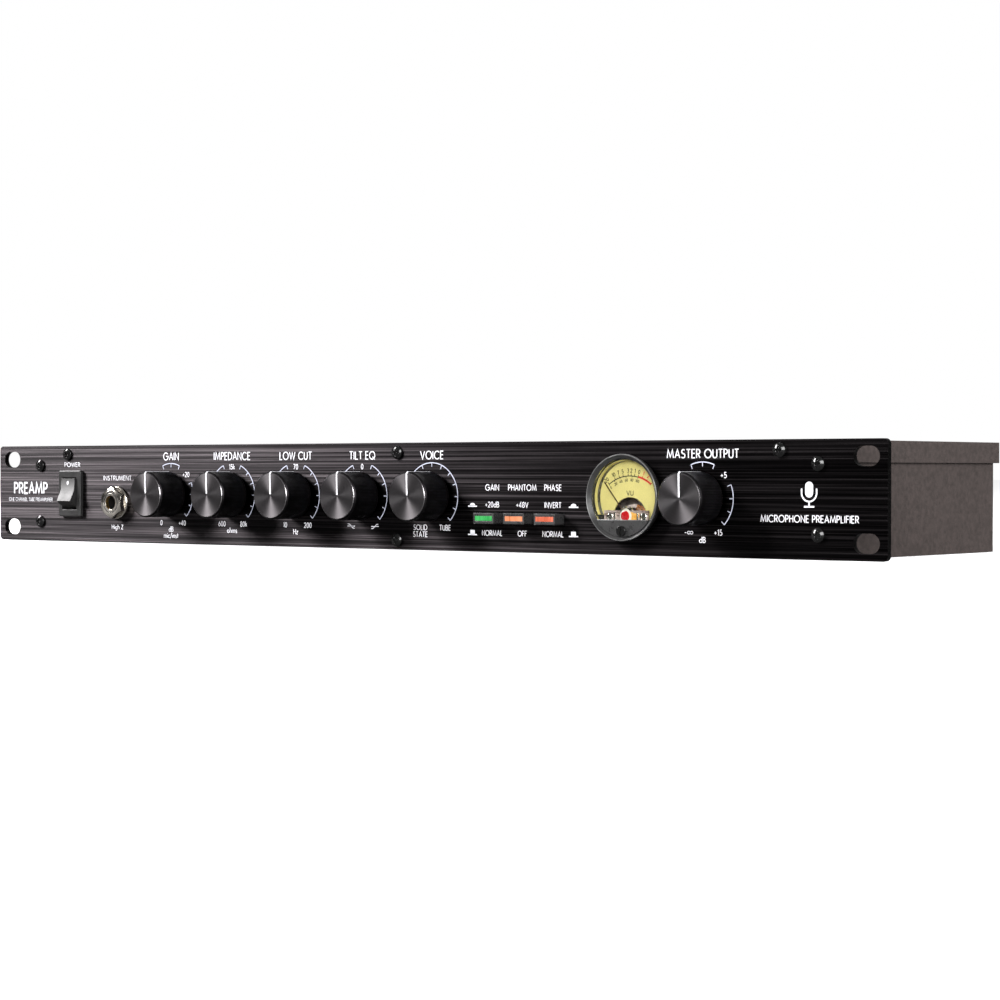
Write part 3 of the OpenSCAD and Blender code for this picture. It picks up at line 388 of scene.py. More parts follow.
def make_piece(name, parts, body, materials, replaces=(), crease=35):
    """One object from patches: arrays go into the mesh whole, then seams and poles are merged."""
    starts = np.cumsum([0] + [len(p.points) for p in parts[:-1]])
    points = np.concatenate([p.points for p in parts])
    quads = np.concatenate([p.quads + s for p, s in zip(parts, starts)])
    mesh = bpy.data.meshes.new(name)
    mesh.vertices.add(len(points))
    mesh.vertices.foreach_set("co", points.astype(np.float32).ravel())
    mesh.loops.add(quads.size)
    mesh.loops.foreach_set("vertex_index", quads.astype(np.int32).ravel())
    mesh.polygons.add(len(quads))
    mesh.polygons.foreach_set("loop_start", np.arange(0, quads.size, 4, dtype=np.int32))
    mesh.polygons.foreach_set("material_index", np.concatenate([p.finish for p in parts]).astype(np.int32))
    mesh.update(calc_edges=True)
    uv = mesh.uv_layers.new(name="way")
    uv.data.foreach_set("uv", np.concatenate([p.corners for p in parts]).astype(np.float32).ravel())
    merge(mesh)
    return link(name, mesh, body, materials, replaces, crease)


def lay_flat(mesh):
    """A "way" map that looks at the mesh from the front: u = x, v = z."""
    co = np.empty(len(mesh.vertices) * 3, np.float32)
    mesh.vertices.foreach_get("co", co)
    corner = np.empty(len(mesh.loops), np.int32)
    mesh.loops.foreach_get("vertex_index", corner)
    uv = co.reshape(-1, 3)[corner][:, [0, 2]]
    mesh.uv_layers.new(name="way").data.foreach_set("uv", uv.ravel())


def softened(name, node, body, material, width, segments=2):
    """A merged copy of a CAD node whose sharp edges a Bevel modifier rounds. It stands for the node."""
    source = frame["nodes"][node].data
    co = np.empty(len(source.vertices) * 3, np.float32)
    source.vertices.foreach_get("co", co)
    corner = np.empty(len(source.loops), np.int32)
    source.loops.foreach_get("vertex_index", corner)
    mesh = bpy.data.meshes.new(name)
    mesh.from_pydata(co.reshape(-1, 3), [], corner.reshape(-1, 3))
    merge(mesh, flat=True)
    lay_flat(mesh)
    piece = link(name, mesh, body, [material], [node], 30)
    bevel = piece.modifiers.new("Rounded edges", "BEVEL")
    bevel.width = width
    bevel.segments = segments
    bevel.limit_method = "ANGLE"
    bevel.angle_limit = math.radians(35)
    bevel.use_clamp_overlap = True
    bevel.harden_normals = True
    return piece


def dress(node, material):
    """Gives a CAD node's object its material."""
    ob = frame["nodes"][node]
    if not ob.material_slots:
        ob.data.materials.append(material)
    for s in ob.material_slots:
        s.material = material


def ray_hit(node, x, z):
    """Where a line from the front at (x, z) meets a CAD node, and the face's normal there."""
    source = frame["nodes"][node].data
    points = [v.co for v in source.vertices]
    tree = BVHTree.FromPolygons(points, [tuple(p.vertices) for p in source.polygons])
    place, normal, _, _ = tree.ray_cast(Vector((x, CAD_BOX[0].y - 0.1, z)), Vector((0, 1, 0)))
    if place is None:
        raise RuntimeError(f"nothing of {node} lies at x {x:.4f}, z {z:.4f}")
    return place, normal


# ---------- shared shader effects ----------

def add(tree, kind, inputs=None, **options):
    """A new node with its options set, and each input set to a value or joined to another node's output."""
    node = tree.nodes.new("ShaderNode" + kind)
    for key, value in options.items():
        setattr(node, key, value)
    for key, value in (inputs or {}).items():
        if isinstance(value, bpy.types.NodeSocket):
            tree.links.new(value, node.inputs[key])
        else:
            node.inputs[key].default_value = value
    return node


def effect(name, inputs, outputs, build):
    """A shader node group with named sockets, built once. build(tree, inputs) gives the output sockets."""
    found = bpy.data.node_groups.get(name)
    if found:
        return found
    tree = bpy.data.node_groups.new(name, "ShaderNodeTree")
    for label, (kind, value) in inputs.items():
        made = tree.interface.new_socket(name=label, in_out="INPUT", socket_type="NodeSocket" + kind)
        made.default_value = value
    for label, kind in outputs.items():
        tree.interface.new_socket(name=label, in_out="OUTPUT", socket_type="NodeSocket" + kind)
    start = tree.nodes.new("NodeGroupInput")
    end = tree.nodes.new("NodeGroupOutput")
    for label, socket in build(tree, start.outputs).items():
        tree.links.new(socket, end.inputs[label])
    return tree


def use(tree, group, **inputs):
    """A placed effect, with its inputs set or joined."""
    node = tree.nodes.new("ShaderNodeGroup")
    node.node_tree = group
    for key, value in inputs.items():
        socket = node.inputs[key]
        if isinstance(value, bpy.types.NodeSocket):
            tree.links.new(value, socket)
        else:
            socket.default_value = value
    return node


def grain_build(tree, inputs):
    """Noise of points that are stretched by a vector: fine lines where it is uneven, and grains
    where it is even."""
    scaled = add(tree, "VectorMath", {0: inputs["Place"], 1: inputs["Stretch"]}, operation="MULTIPLY")
    fine = add(tree, "TexNoise", {"Vector": scaled.outputs[0], "Scale": 1.0, "Detail": 4.0,
                                  "Roughness": 0.65})
    broad = add(tree, "TexNoise", {"Vector": scaled.outputs[0], "Scale": 0.17, "Detail": 2.0})
    both = add(tree, "Math", {0: fine.outputs[0], 1: broad.outputs[0]}, operation="ADD")
    mask = add(tree, "MapRange", {"Value": both.outputs[0], "From Min": 0.72, "From Max": 1.28})
    return {"Mask": mask.outputs[0]}


def grain_effect():
    return effect("Grain", {"Place": ("Vector", (0, 0, 0)), "Stretch": ("Vector", (800, 800, 800))},
                  {"Mask": "Float"}, grain_build)


def handling_build(tree, inputs):
    """Broad soft patches broken by finer ones, as dust and finger marks leave."""
    broad = add(tree, "TexNoise", {"Vector": inputs["Place"], "Scale": 14.0, "Detail": 5.0, "Roughness": 0.6})
    fine = add(tree, "TexNoise", {"Vector": inputs["Place"], "Scale": 260.0, "Detail": 2.0})
    patches = add(tree, "MapRange", {"Value": broad.outputs[0], "From Min": 0.42, "From Max": 0.68})
    mask = add(tree, "Math", {0: patches.outputs[0], 1: fine.outputs[0]}, operation="MULTIPLY")
    return {"Mask": mask.outputs[0]}


def handling_effect():
    return effect("Handling", {"Place": ("Vector", (0, 0, 0))}, {"Mask": "Float"}, handling_build)


def rings_build(tree, inputs):
    """Fine turned rings: noise read along one number only, the distance from a centre."""
    near = add(tree, "VectorMath", {0: inputs["Place"], 1: inputs["Centre"]}, operation="SUBTRACT")
    flat = add(tree, "VectorMath", {0: near.outputs[0], 1: inputs["Plane"]}, operation="MULTIPLY")
    far = add(tree, "VectorMath", {0: flat.outputs[0]}, operation="LENGTH")
    noise = add(tree, "TexNoise", {"W": far.outputs["Value"], "Scale": 9000.0, "Detail": 3.0},
                noise_dimensions="1D")
    return {"Mask": noise.outputs[0]}


def rings_effect():
    return effect("Turned rings", {"Place": ("Vector", (0, 0, 0)), "Centre": ("Vector", (0, 0, 0)),
                                   "Plane": ("Vector", (1, 0, 1))}, {"Mask": "Float"}, rings_build)


def new_material(name):
    """An empty material: its tree, its Principled shader and its Object coordinates."""
    material = bpy.data.materials.new(name)
    material.use_nodes = True
    tree = material.node_tree
    tree.nodes.clear()
    shader = add(tree, "BsdfPrincipled")
    out = tree.nodes.new("ShaderNodeOutputMaterial")
    tree.links.new(shader.outputs[0], out.inputs["Surface"])
    place = add(tree, "TexCoord").outputs["Object"]
    return material, tree, shader, place


def surface_finish(name, dark, light, stretch, rough, metallic=0.0, relief=0.0, coat=0.0, specular=0.5,
                   dust=0.06, mask=None):
    """A material whose colour, roughness and relief follow one grain, with faint marks of handling.
    stretch is the grain's fineness along X, Y and Z, rough its lowest and highest roughness."""
    material, tree, shader, place = new_material(name)
    if mask is None:
        mask = use(tree, grain_effect(), Place=place, Stretch=stretch).outputs["Mask"]
    else:
        mask = mask(tree, place)
    marks = use(tree, handling_effect(), Place=place).outputs["Mask"]
    base = add(tree, "Mix", {"Factor": mask, 6: (*dark, 1), 7: (*light, 1)}, data_type="RGBA")
    tree.links.new(base.outputs[2], shader.inputs["Base Color"])
    low, high = rough
    first = add(tree, "MapRange", {"Value": mask, "To Min": low, "To Max": high})
    second = add(tree, "Math", {0: marks, 1: dust, 2: first.outputs[0]}, operation="MULTIPLY_ADD")
    tree.links.new(second.outputs[0], shader.inputs["Roughness"])
    shader.inputs["Metallic"].default_value = metallic
    shader.inputs["Specular IOR Level"].default_value = specular
    shader.inputs["Coat Weight"].default_value = coat
    shader.inputs["Coat Roughness"].default_value = 0.08
    if relief:
        bump = add(tree, "Bump", {"Height": mask, "Strength": 1.0, "Distance": relief})
        tree.links.new(bump.outputs[0], shader.inputs["Normal"])
    return material


def draw_out(material, amount):
    """Draws a material's gloss out across its grain, which follows the u of the "way" map."""
    tree = material.node_tree
    shader = next(n for n in tree.nodes if n.type == "BSDF_PRINCIPLED")
    shader.inputs["Anisotropic"].default_value = amount
    shader.inputs["Anisotropic Rotation"].default_value = 0.25
    way = add(tree, "Tangent", direction_type="UV_MAP", uv_map="way")
    tree.links.new(way.outputs[0], shader.inputs["Tangent"])
    return material


def grey(level):
    """A neutral colour."""
    return (level, level, level)


# ---------- the finishes of this unit ----------

def brush_build(tree, inputs):
    """Long lines of several widths along X: sharpened noise of points stretched by fixed amounts."""
    total = None
    for stretch, share in (((2.5, 300, 800), 0.34), ((7.0, 600, 2200), 0.38), ((16.0, 900, 5200), 0.28)):
        scaled = add(tree, "VectorMath", {0: inputs["Place"], 1: stretch}, operation="MULTIPLY")
        noise = add(tree, "TexNoise", {"Vector": scaled.outputs[0], "Scale": 1.0, "Detail": 2.0})
        line = add(tree, "MapRange", {"Value": noise.outputs[0], "From Min": 0.41, "From Max": 0.62,
                                      "To Max": share})
        before = total.outputs[0] if total else 0.0
        total = add(tree, "Math", {0: line.outputs[0], 1: before}, operation="ADD")
    sharp = add(tree, "Math", {0: total.outputs[0], 1: 2.2}, operation="POWER")
    return {"Mask": sharp.outputs[0]}


def brushed(tree, place):
    group = effect("Brush lines", {"Place": ("Vector", (0, 0, 0))}, {"Mask": "Float"}, brush_build)
    return use(tree, group, Place=place).outputs["Mask"]


def panel_black():
    look = bpy.context.scene.preamp_finish
    return draw_out(surface_finish("Brushed black panel", look.panel_dark, look.panel_light, None,
                                   (0.30, 0.42), metallic=1.0, relief=0.012 * MM, dust=0.06,
                                   mask=brushed), 0.92)


def case_paint():
    look = bpy.context.scene.preamp_finish
    return surface_finish("Fine textured paint", look.case_dark, look.case_light, (3200, 3200, 3200),
                          (0.52, 0.64), relief=0.03 * MM, specular=0.35, dust=0.03)


def black_oxide():
    return surface_finish("Black oxide steel", grey(0.004), grey(0.012), (900, 900, 900), (0.10, 0.18),
                          metallic=0.3, relief=0.002 * MM)


def nickel_plate():
    return surface_finish("Bright nickel plate", (0.38, 0.36, 0.325), (0.54, 0.51, 0.46), (700, 700, 700),
                          (0.12, 0.24), metallic=1.0, relief=0.002 * MM)


def zinc_plate():
    return surface_finish("Zinc plate", (0.38, 0.38, 0.37), (0.60, 0.60, 0.58), (500, 500, 500),
                          (0.28, 0.45), metallic=1.0, relief=0.004 * MM)


def plain_brass():
    return surface_finish("Brass", (0.62, 0.42, 0.16), (0.80, 0.60, 0.28), (400, 400, 400),
                          (0.22, 0.36), metallic=1.0, relief=0.003 * MM)


def moulded_black(name="Moulded black plastic", low=0.014, high=0.026, rough=(0.34, 0.46), coat=0.0):
    return surface_finish(name, grey(low), grey(high), (1800, 1800, 1800), rough,
                          relief=0.006 * MM, coat=coat)


def pale_plastic():
    return surface_finish("Pale plastic", (0.62, 0.59, 0.52), (0.72, 0.69, 0.62), (900, 900, 900),
                          (0.35, 0.5), relief=0.004 * MM)


def printed_ink(name, base):
    dark = tuple(0.86 * c for c in base)
    return surface_finish(name, dark, base, (3000, 3000, 3000), (0.45, 0.6), relief=0.004 * MM, dust=0.02)


def fluted_black():
    look = bpy.context.scene.preamp_knobs
    light = tuple(2.2 * c for c in look.side)
    return surface_finish("Fluted black side", look.side, light, (1500, 200, 1500), (0.30, 0.42),
                          metallic=0.9, relief=0.004 * MM)


def spun_face(centre):
    """Turned rings whose gloss is drawn out across them, so that light gathers in wedges."""
    look = bpy.context.scene.preamp_knobs
    dark = tuple(0.7 * c for c in look.face)
    light = tuple(1.25 * c for c in look.face)

    def rings(tree, place):
        return use(tree, rings_effect(), Place=place, Centre=centre).outputs["Mask"]

    return draw_out(surface_finish("Spun face", dark, light, None, (0.34, 0.40), metallic=1.0,
                                   relief=0.001 * MM, mask=rings, dust=0.02), 0.82)


def bright_chamfer():
    return surface_finish("Diamond-cut rim", (0.22, 0.21, 0.22), (0.40, 0.38, 0.39), (1200, 200, 1200),
                          (0.18, 0.28), metallic=1.0)


def lens_plastic(name, base):
    """A translucent lens: brighter and darker bars across it, and a little light of its own."""
    look = bpy.context.scene.preamp_buttons
    material, tree, shader, place = new_material(name)
    bars = use(tree, grain_effect(), Place=place, Stretch=(420, 20, 60)).outputs["Mask"]
    base = tuple(base)
    dark = tuple(0.62 * c for c in base)
    light = tuple(min(1.0, 1.15 * c + 0.03) for c in base)
    mix = add(tree, "Mix", {"Factor": bars, 6: (*dark, 1), 7: (*light, 1)}, data_type="RGBA")
    tree.links.new(mix.outputs[2], shader.inputs["Base Color"])
    tree.links.new(mix.outputs[2], shader.inputs["Emission Color"])
    shader.inputs["Emission Strength"].default_value = look.glow
    gloss = add(tree, "MapRange", {"Value": bars, "To Min": 0.22, "To Max": 0.34})
    tree.links.new(gloss.outputs[0], shader.inputs["Roughness"])
    shader.inputs["Coat Weight"].default_value = 0.4
    return material


def clear_window():
    """Clear plastic: what is behind shows, and the gloss grows at low angles."""
    material = bpy.data.materials.new("Clear window")
    material.use_nodes = True
    tree = material.node_tree
    tree.nodes.clear()
    through = add(tree, "BsdfTransparent", {"Color": (0.97, 0.98, 0.97, 1)})
    gloss = add(tree, "BsdfAnisotropic", {"Roughness": 0.03})
    edge = add(tree, "Fresnel", {"IOR": 1.16})
    mix = add(tree, "MixShader", {0: edge.outputs[0], 1: through.outputs[0], 2: gloss.outputs[0]})
    out = tree.nodes.new("ShaderNodeOutputMaterial")
    tree.links.new(mix.outputs[0], out.inputs["Surface"])
    return material


def tube_glass():
    """Thin glass: clear in the middle, with a silver flash inside at its far end."""
    material, tree, shader, place = new_material("Tube glass")
    far_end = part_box("vacuum_tube")[1].x
    along = add(tree, "SeparateXYZ", {0: place}).outputs[0]
    silver = add(tree, "MapRange", {"Value": along, "From Min": far_end - 14 * MM,
                                    "From Max": far_end - 9 * MM})
    grain = use(tree, grain_effect(), Place=place, Stretch=(300, 300, 300)).outputs["Mask"]
    base = add(tree, "Mix", {"Factor": grain, 6: (0.55, 0.57, 0.58, 1), 7: (0.75, 0.77, 0.78, 1)},
               data_type="RGBA")
    tree.links.new(base.outputs[2], shader.inputs["Base Color"])
    clear = add(tree, "MapRange", {"Value": silver.outputs[0], "To Min": 0.22, "To Max": 1.0})
    tree.links.new(clear.outputs[0], shader.inputs["Alpha"])
    tree.links.new(silver.outputs[0], shader.inputs["Metallic"])
    shader.inputs["Roughness"].default_value = 0.06
    return material


def circuit_board():
    """Green solder mask over copper tracks: the tracks are the edges of square cells."""
    def tracks(tree, place):
        cells = add(tree, "TexVoronoi", {"Vector": place, "Scale": 230.0, "Randomness": 0.55},
                    distance="MANHATTAN", feature="F1")
        line = add(tree, "MapRange", {"Value": cells.outputs["Distance"], "From Min": 0.45, "From Max": 0.52})
        return line.outputs[0]

    return surface_finish("Circuit board", (0.012, 0.10, 0.035), (0.03, 0.20, 0.07), None, (0.22, 0.34),
                          relief=0.03 * MM, coat=0.3, mask=tracks)


def scale_card():
    card = bpy.context.scene.preamp_meter.card
    dark = tuple(0.88 * c for c in card)
    return surface_finish("Cream scale card", dark, card, (1500, 200, 1500), (0.55, 0.7), relief=0.003 * MM)


def jewel_red():
    jewel = bpy.context.scene.preamp_meter.jewel
    dark = tuple(0.6 * c for c in jewel)
    return surface_finish("Red jewel", dark, jewel, (900, 900, 900), (0.08, 0.16), coat=0.8)


def bridge_metal():
    return surface_finish("Lacquered bridge", (0.26, 0.18, 0.16), (0.74, 0.62, 0.58), (350, 900, 1400),
                          (0.20, 0.42), metallic=0.45, relief=0.02 * MM)


def copper_wire():
    return surface_finish("Enamelled copper wire", (0.16, 0.055, 0.018), (0.42, 0.17, 0.06),
                          (600, 3000, 3000),
                          (0.22, 0.38), metallic=0.4, relief=0.02 * MM)


def amber_lacquer():
    return surface_finish("Amber lacquer", (0.55, 0.24, 0.04), (0.85, 0.46, 0.10), (900, 900, 900),
                          (0.2, 0.32), coat=0.4)


def winding_tape():
    return surface_finish("Yellow winding tape", (0.42, 0.30, 0.04), (0.62, 0.47, 0.09), (260, 260, 80),
                          (0.22, 0.36), relief=0.05 * MM, coat=0.3)


def glazed_ceramic():
    return surface_finish("Glazed ceramic", (0.62, 0.60, 0.54), (0.74, 0.72, 0.66), (500, 500, 500),
                          (0.18, 0.3), relief=0.01 * MM, coat=0.3)


def shrink_sleeve():
    """A dark blue sleeve whose fine grain runs along Z."""
    return surface_finish("Capacitor sleeve", (0.012, 0.018, 0.045), (0.03, 0.045, 0.10), (900, 900, 60),
                          (0.2, 0.32), relief=0.006 * MM, coat=0.3)


def wire_sleeve():
    return surface_finish("Wire sleeve", (0.11, 0.045, 0.015), (0.20, 0.09, 0.035), (900, 900, 900),
                          (0.32, 0.45), relief=0.01 * MM)


# ---------- lettering ----------

def arc(x, y, rx, ry, start, stop, steps=14):
    """Points of an ellipse's arc, from one angle in degrees to another."""
    a = np.radians(np.linspace(start, stop, steps))
    return np.stack([x + rx * np.cos(a), y + ry * np.sin(a)], -1)


def run(*parts):
    """One stroke from points and arcs in a row."""
    return np.vstack([np.atleast_2d(np.asarray(p, float)) for p in parts])


def glyphs():
    """A single-stroke alphabet: each letter's width and strokes, for capitals one unit high."""
    ring = arc(0.5, 0.5, 0.5, 0.5, 0, 360, 29)
    small_ring = arc(0.29, 0.30, 0.29, 0.30, 0, 360, 21)
    stem = run((0, 0), (0, 1))
    return {
        "A": (0.74, [run((0, 0), (0.37, 1), (0.74, 0)), run((0.13, 0.33), (0.61, 0.33))]),
        "B": (0.54, [run((0.26, 0.53), (0, 0.53), (0, 1), arc(0.24, 0.765, 0.22, 0.235, 90, -90)),
                     run((0, 0.53), (0, 0), arc(0.26, 0.265, 0.27, 0.265, -90, 90))]),
        "C": (0.86, [arc(0.5, 0.5, 0.5, 0.5, 44, 316, 21)]),
        "D": (0.72, [run((0, 0), (0, 1), arc(0.24, 0.5, 0.48, 0.5, 90, -90), (0, 0))]),
        "E": (0.46, [run((0.46, 1), (0, 1), (0, 0), (0.46, 0)), run((0, 0.53), (0.42, 0.53))]),
        "F": (0.44, [run((0.44, 1), (0, 1), (0, 0)), run((0, 0.53), (0.40, 0.53))]),
        "G": (1.0, [run(arc(0.5, 0.5, 0.5, 0.5, 44, 360, 23), (0.56, 0.5))]),
        "H": (0.62, [stem, run((0.62, 0), (0.62, 1)), run((0, 0.53), (0.62, 0.53))]),
        "I": (0.02, [stem]),
        "L": (0.42, [run((0, 1), (0, 0), (0.42, 0))]),
        "M": (0.96, [run((0, 0), (0.14, 1), (0.48, 0.1), (0.82, 1), (0.96, 0))]),
        "N": (0.68, [run((0, 0), (0, 1), (0.68, 0), (0.68, 1))]),
        "O": (1.0, [ring]),
        "P": (0.50, [run((0, 0), (0, 1), arc(0.24, 0.73, 0.26, 0.27, 90, -90), (0, 0.46))]),
        "Q": (1.0, [ring, run((0.58, 0.34), (0.98, -0.04))]),
        "R": (0.54, [run((0, 0), (0, 1), arc(0.24, 0.73, 0.26, 0.27, 90, -90), (0, 0.46)),
                     run((0.22, 0.46), (0.54, 0))]),
        "S": (0.54, [run(arc(0.28, 0.75, 0.22, 0.25, 35, 262), arc(0.27, 0.26, 0.27, 0.26, 82, -145))]),
        "T": (0.58, [run((0, 1), (0.58, 1)), run((0.29, 1), (0.29, 0))]),
        "U": (0.60, [run((0, 1), arc(0.30, 0.30, 0.30, 0.30, 180, 360), (0.60, 1))]),
        "V": (0.74, [run((0, 1), (0.37, 0), (0.74, 1))]),
        "W": (1.08, [run((0, 1), (0.27, 0), (0.54, 0.92), (0.81, 0), (1.08, 1))]),
        "Z": (0.54, [run((0.02, 1), (0.52, 1), (0, 0), (0.54, 0))]),
        "0": (0.54, [arc(0.27, 0.5, 0.27, 0.5, 0, 360, 23)]),
        "1": (0.22, [run((0, 0.84), (0.20, 1), (0.20, 0))]),
        "2": (0.52, [run(arc(0.26, 0.73, 0.25, 0.27, 165, -35), (0, 0), (0.54, 0))]),
        "3": (0.50, [run(arc(0.24, 0.77, 0.22, 0.23, 150, -80), arc(0.24, 0.27, 0.26, 0.27, 80, -150))]),
        "4": (0.60, [run((0.44, 0), (0.44, 1), (0, 0.27), (0.60, 0.27))]),
        "5": (0.52, [run((0.48, 1), (0.13, 1), (0.08, 0.55), arc(0.24, 0.32, 0.28, 0.31, 120, -145))]),
        "6": (0.56, [arc(0.28, 0.31, 0.28, 0.31, 0, 360, 21), run((0.42, 1), (0.06, 0.46))]),
        "7": (0.52, [run((0, 1), (0.52, 1), (0.16, 0))]),
        "8": (0.54, [arc(0.27, 0.76, 0.22, 0.24, 0, 360, 19), arc(0.27, 0.26, 0.27, 0.26, 0, 360, 21)]),
        "+": (0.52, [run((0, 0.42), (0.52, 0.42)), run((0.26, 0.16), (0.26, 0.68))]),
        "-": (0.36, [run((0, 0.40), (0.36, 0.40))]),
        "~": (1.28, [arc(0.32, 0.42, 0.32, 0.25, 0, 360, 19), arc(0.96, 0.42, 0.32, 0.25, 0, 360, 19)]),
        "/": (0.40, [run((0, -0.12), (0.40, 1.06))]),
        "c": (0.50, [arc(0.29, 0.30, 0.29, 0.30, 48, 312)]),
        "d": (0.58, [small_ring, run((0.58, 0), (0.58, 1.06))]),
        "g": (0.58, [small_ring, run((0.58, 0.6), arc(0.30, -0.06, 0.28, 0.24, 0, -150))]),
        "h": (0.48, [run((0, 0), (0, 1.06)), run((0, 0.3), arc(0.24, 0.34, 0.24, 0.26, 180, 0), (0.48, 0))]),
        "i": (0.02, [run((0, 0), (0, 0.6)), run((0, 0.80), (0, 0.90))]),
        "k": (0.42, [run((0, 0), (0, 1.06)), run((0.38, 0.62), (0.02, 0.27)), run((0.13, 0.38), (0.42, 0))]),
        "m": (0.84, [run((0, 0), (0, 0.6)), run((0, 0.3), arc(0.21, 0.38, 0.21, 0.22, 180, 0), (0.42, 0)),
                     run((0.42, 0.3), arc(0.63, 0.38, 0.21, 0.22, 180, 0), (0.84, 0))]),
        "n": (0.46, [run((0, 0), (0, 0.6)), run((0, 0.3), arc(0.23, 0.36, 0.23, 0.24, 180, 0), (0.46, 0))]),
        "o": (0.58, [small_ring]),
        "s": (0.34, [run(arc(0.17, 0.45, 0.14, 0.15, 35, 262), arc(0.17, 0.155, 0.17, 0.155, 82, -145))]),
        "t": (0.28, [run((0.13, 0), (0.13, 0.92)), run((0, 0.6), (0.28, 0.6))]),
        "z": (0.40, [run((0, 0.6), (0.40, 0.6), (0, 0), (0.40, 0))]),
        " ": (0.20, []),
    }


GLYPHS = glyphs()
LETTER_GAP = 0.25


def lettering(text, x, y, height, weight=0.13, wide=0.93, turn=0.0, thick=0.03 * MM, finish=0):
    """Patches of a line of text on the plane: strokes of each letter in a row, about the line's middle,
    and then turned about that point. height is a capital's, and wide stretches the letters sideways."""
    widths = [GLYPHS[c][0] * wide for c in text]
    gap = LETTER_GAP * wide
    pen = -(sum(widths) + gap * (len(text) - 1)) / 2
    c, s = math.cos(turn), math.sin(turn)
    parts = []
    for letter, width in zip(text, widths):
        for stroke in GLYPHS[letter][1]:
            p = (stroke * [wide, 1] + [pen, -0.5]) * height
            p = p @ np.array([[c, s], [-s, c]]) + [x, y]
            closed = np.allclose(p[0], p[-1])
            parts.append(ribbon(p[:-1] if closed else p, weight * height, 0, thick, closed, finish))
        pen += width + gap
    return parts


# ---------- the finished pieces ----------

class PreampOperator:
    """What every maker of this unit's pieces shares: execute runs make, which raises where it
    can't finish."""
    bl_options = {"REGISTER", "UNDO"}

    def execute(self, context):
        self.make(context.scene)
        return {"FINISHED"}


def soften_each(rows):
    """Softened copies from rows of (node, body, material, width, slot); slot is not used."""
    for node, body, material, width, slot in rows:
        softened(node + "_finished", node, body, material, width)


class PREAMP_OT_enclosure(PreampOperator, bpy.types.Operator):
    """Finishes the front panel, the tray, the cover and the screws that hold them"""
    bl_idname = "preamp.enclosure"
    bl_label = "Panel and case"

    def make(self, scene):
        paint = case_paint()
        screw = black_oxide()
        soften_each([
            ("front_panel", "case", panel_black(), 0.30 * MM, "panel_black"),
            ("chassis_tray", "case", paint, 0.25 * MM, "case_paint"),
            ("top_cover", "case", paint, 0.35 * MM, "case_paint"),
            ("panel_screws", "case", screw, 0.14 * MM, "black_screw"),
            ("cover_screws", "case", screw, 0.08 * MM, "black_screw"),
            ("connector_screws", "case", screw, 0.08 * MM, "black_screw")])


class PREAMP_OT_knobs(PreampOperator, bpy.types.Operator):
    """Builds the six fluted knobs with spun faces and white pointers"""
    bl_idname = "preamp.knobs"
    bl_label = "Knobs"

    def make(self, scene):
        look = scene.preamp_knobs
        side, rim = fluted_black(), bright_chamfer()
        white = printed_ink("Pointer white", scene.preamp_print.ink)
        for name in KNOBS:
            self.knob(name, look, side, rim, white)

    def knob(self, name, look, side, rim, white):
        node = name + "_knob"
        low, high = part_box(node)
        centre = middle(node)
        radius = (high.x - low.x) / 2
        length = high.y - low.y
        recess, depth = 6.85 * MM, 3.6 * MM
        edge, cut, dish = look.chamfer, look.rim, 0.25 * MM
        flat = radius - edge - cut
        heights = np.linspace(0.8 * MM, length - edge - 0.5 * MM, 6)
        face = [(flat * (1 - s), length - dish * (1 - (1 - s) ** 2)) for s in np.linspace(0, 1, 14)]
        profile = np.array([(0, depth), (recess, depth), (recess, 0), (radius - 0.5 * MM, 0)]
                           + [(radius, h) for h in heights]
                           + [(radius, length - edge - cut), (radius - edge, length - cut)] + face)
        steps = 4 * look.flutes
        groove = (1 - np.cos(np.arange(steps) * np.pi / 2)) / 2
        scale = np.ones((len(profile), steps))
        scale[5:9] -= look.flute_depth / radius * groove
        finish = np.zeros(len(profile) - 1, int)
        finish[11] = 1
        finish[12:] = 2
        body = turned(profile, steps, scale, finish=finish)
        set_out = front_place(centre.x, centre.z, high.y)
        make_piece(name + "_knob_finished", [placed(body, set_out)], name + "_control",
                   [side, rim, spun_face(centre)], [node], crease=30)
        lift = 0.05 * MM
        path = [(0.6 * MM, length - dish + lift), (0.55 * flat, length - 0.3 * dish + lift),
                (flat, length + lift / 2), (radius + lift / 2, length - edge - cut),
                (radius + lift, length * 0.5), (radius + lift, 0.8 * MM)]
        half = look.pointer_width / 2
        strip = ribbon(path, 0.09 * MM, -half, half)
        strip = placed(strip, lambda p: p[:, [2, 0, 1]])
        make_piece(name + "_pointer", [placed(strip, set_out)], name + "_control", [white])


class PREAMP_OT_power_switch(PreampOperator, bpy.types.Operator):
    """Finishes the rocker, and prints its dot"""
    bl_idname = "preamp.power_switch"
    bl_label = "Power switch"

    def make(self, scene):
        soften_each([
            ("rocker_frame", "case", moulded_black("Rocker frame plastic", 0.012, 0.022, (0.26, 0.36)),
             0.35 * MM, "rocker_plastic"),
            ("rocker_paddle", "power_paddle", moulded_black("Glossy paddle", 0.012, 0.020, (0.41, 0.49), 0.0),
             0.30 * MM, "paddle_plastic")])
        x = joint_place("power_rock").x
        place, normal = ray_hit("rocker_paddle", x, 4.9 * MM)
        dot = slab(ring_points(1.0, 40) * [0.62 * MM, 0.95 * MM], -0.04 * MM, 0.05 * MM, 0.03 * MM)
        make_piece("rocker_dot", [placed(dot, tilted_place(place, normal))], "power_paddle",
                   [printed_ink("Rocker dot", scene.preamp_print.ink)])


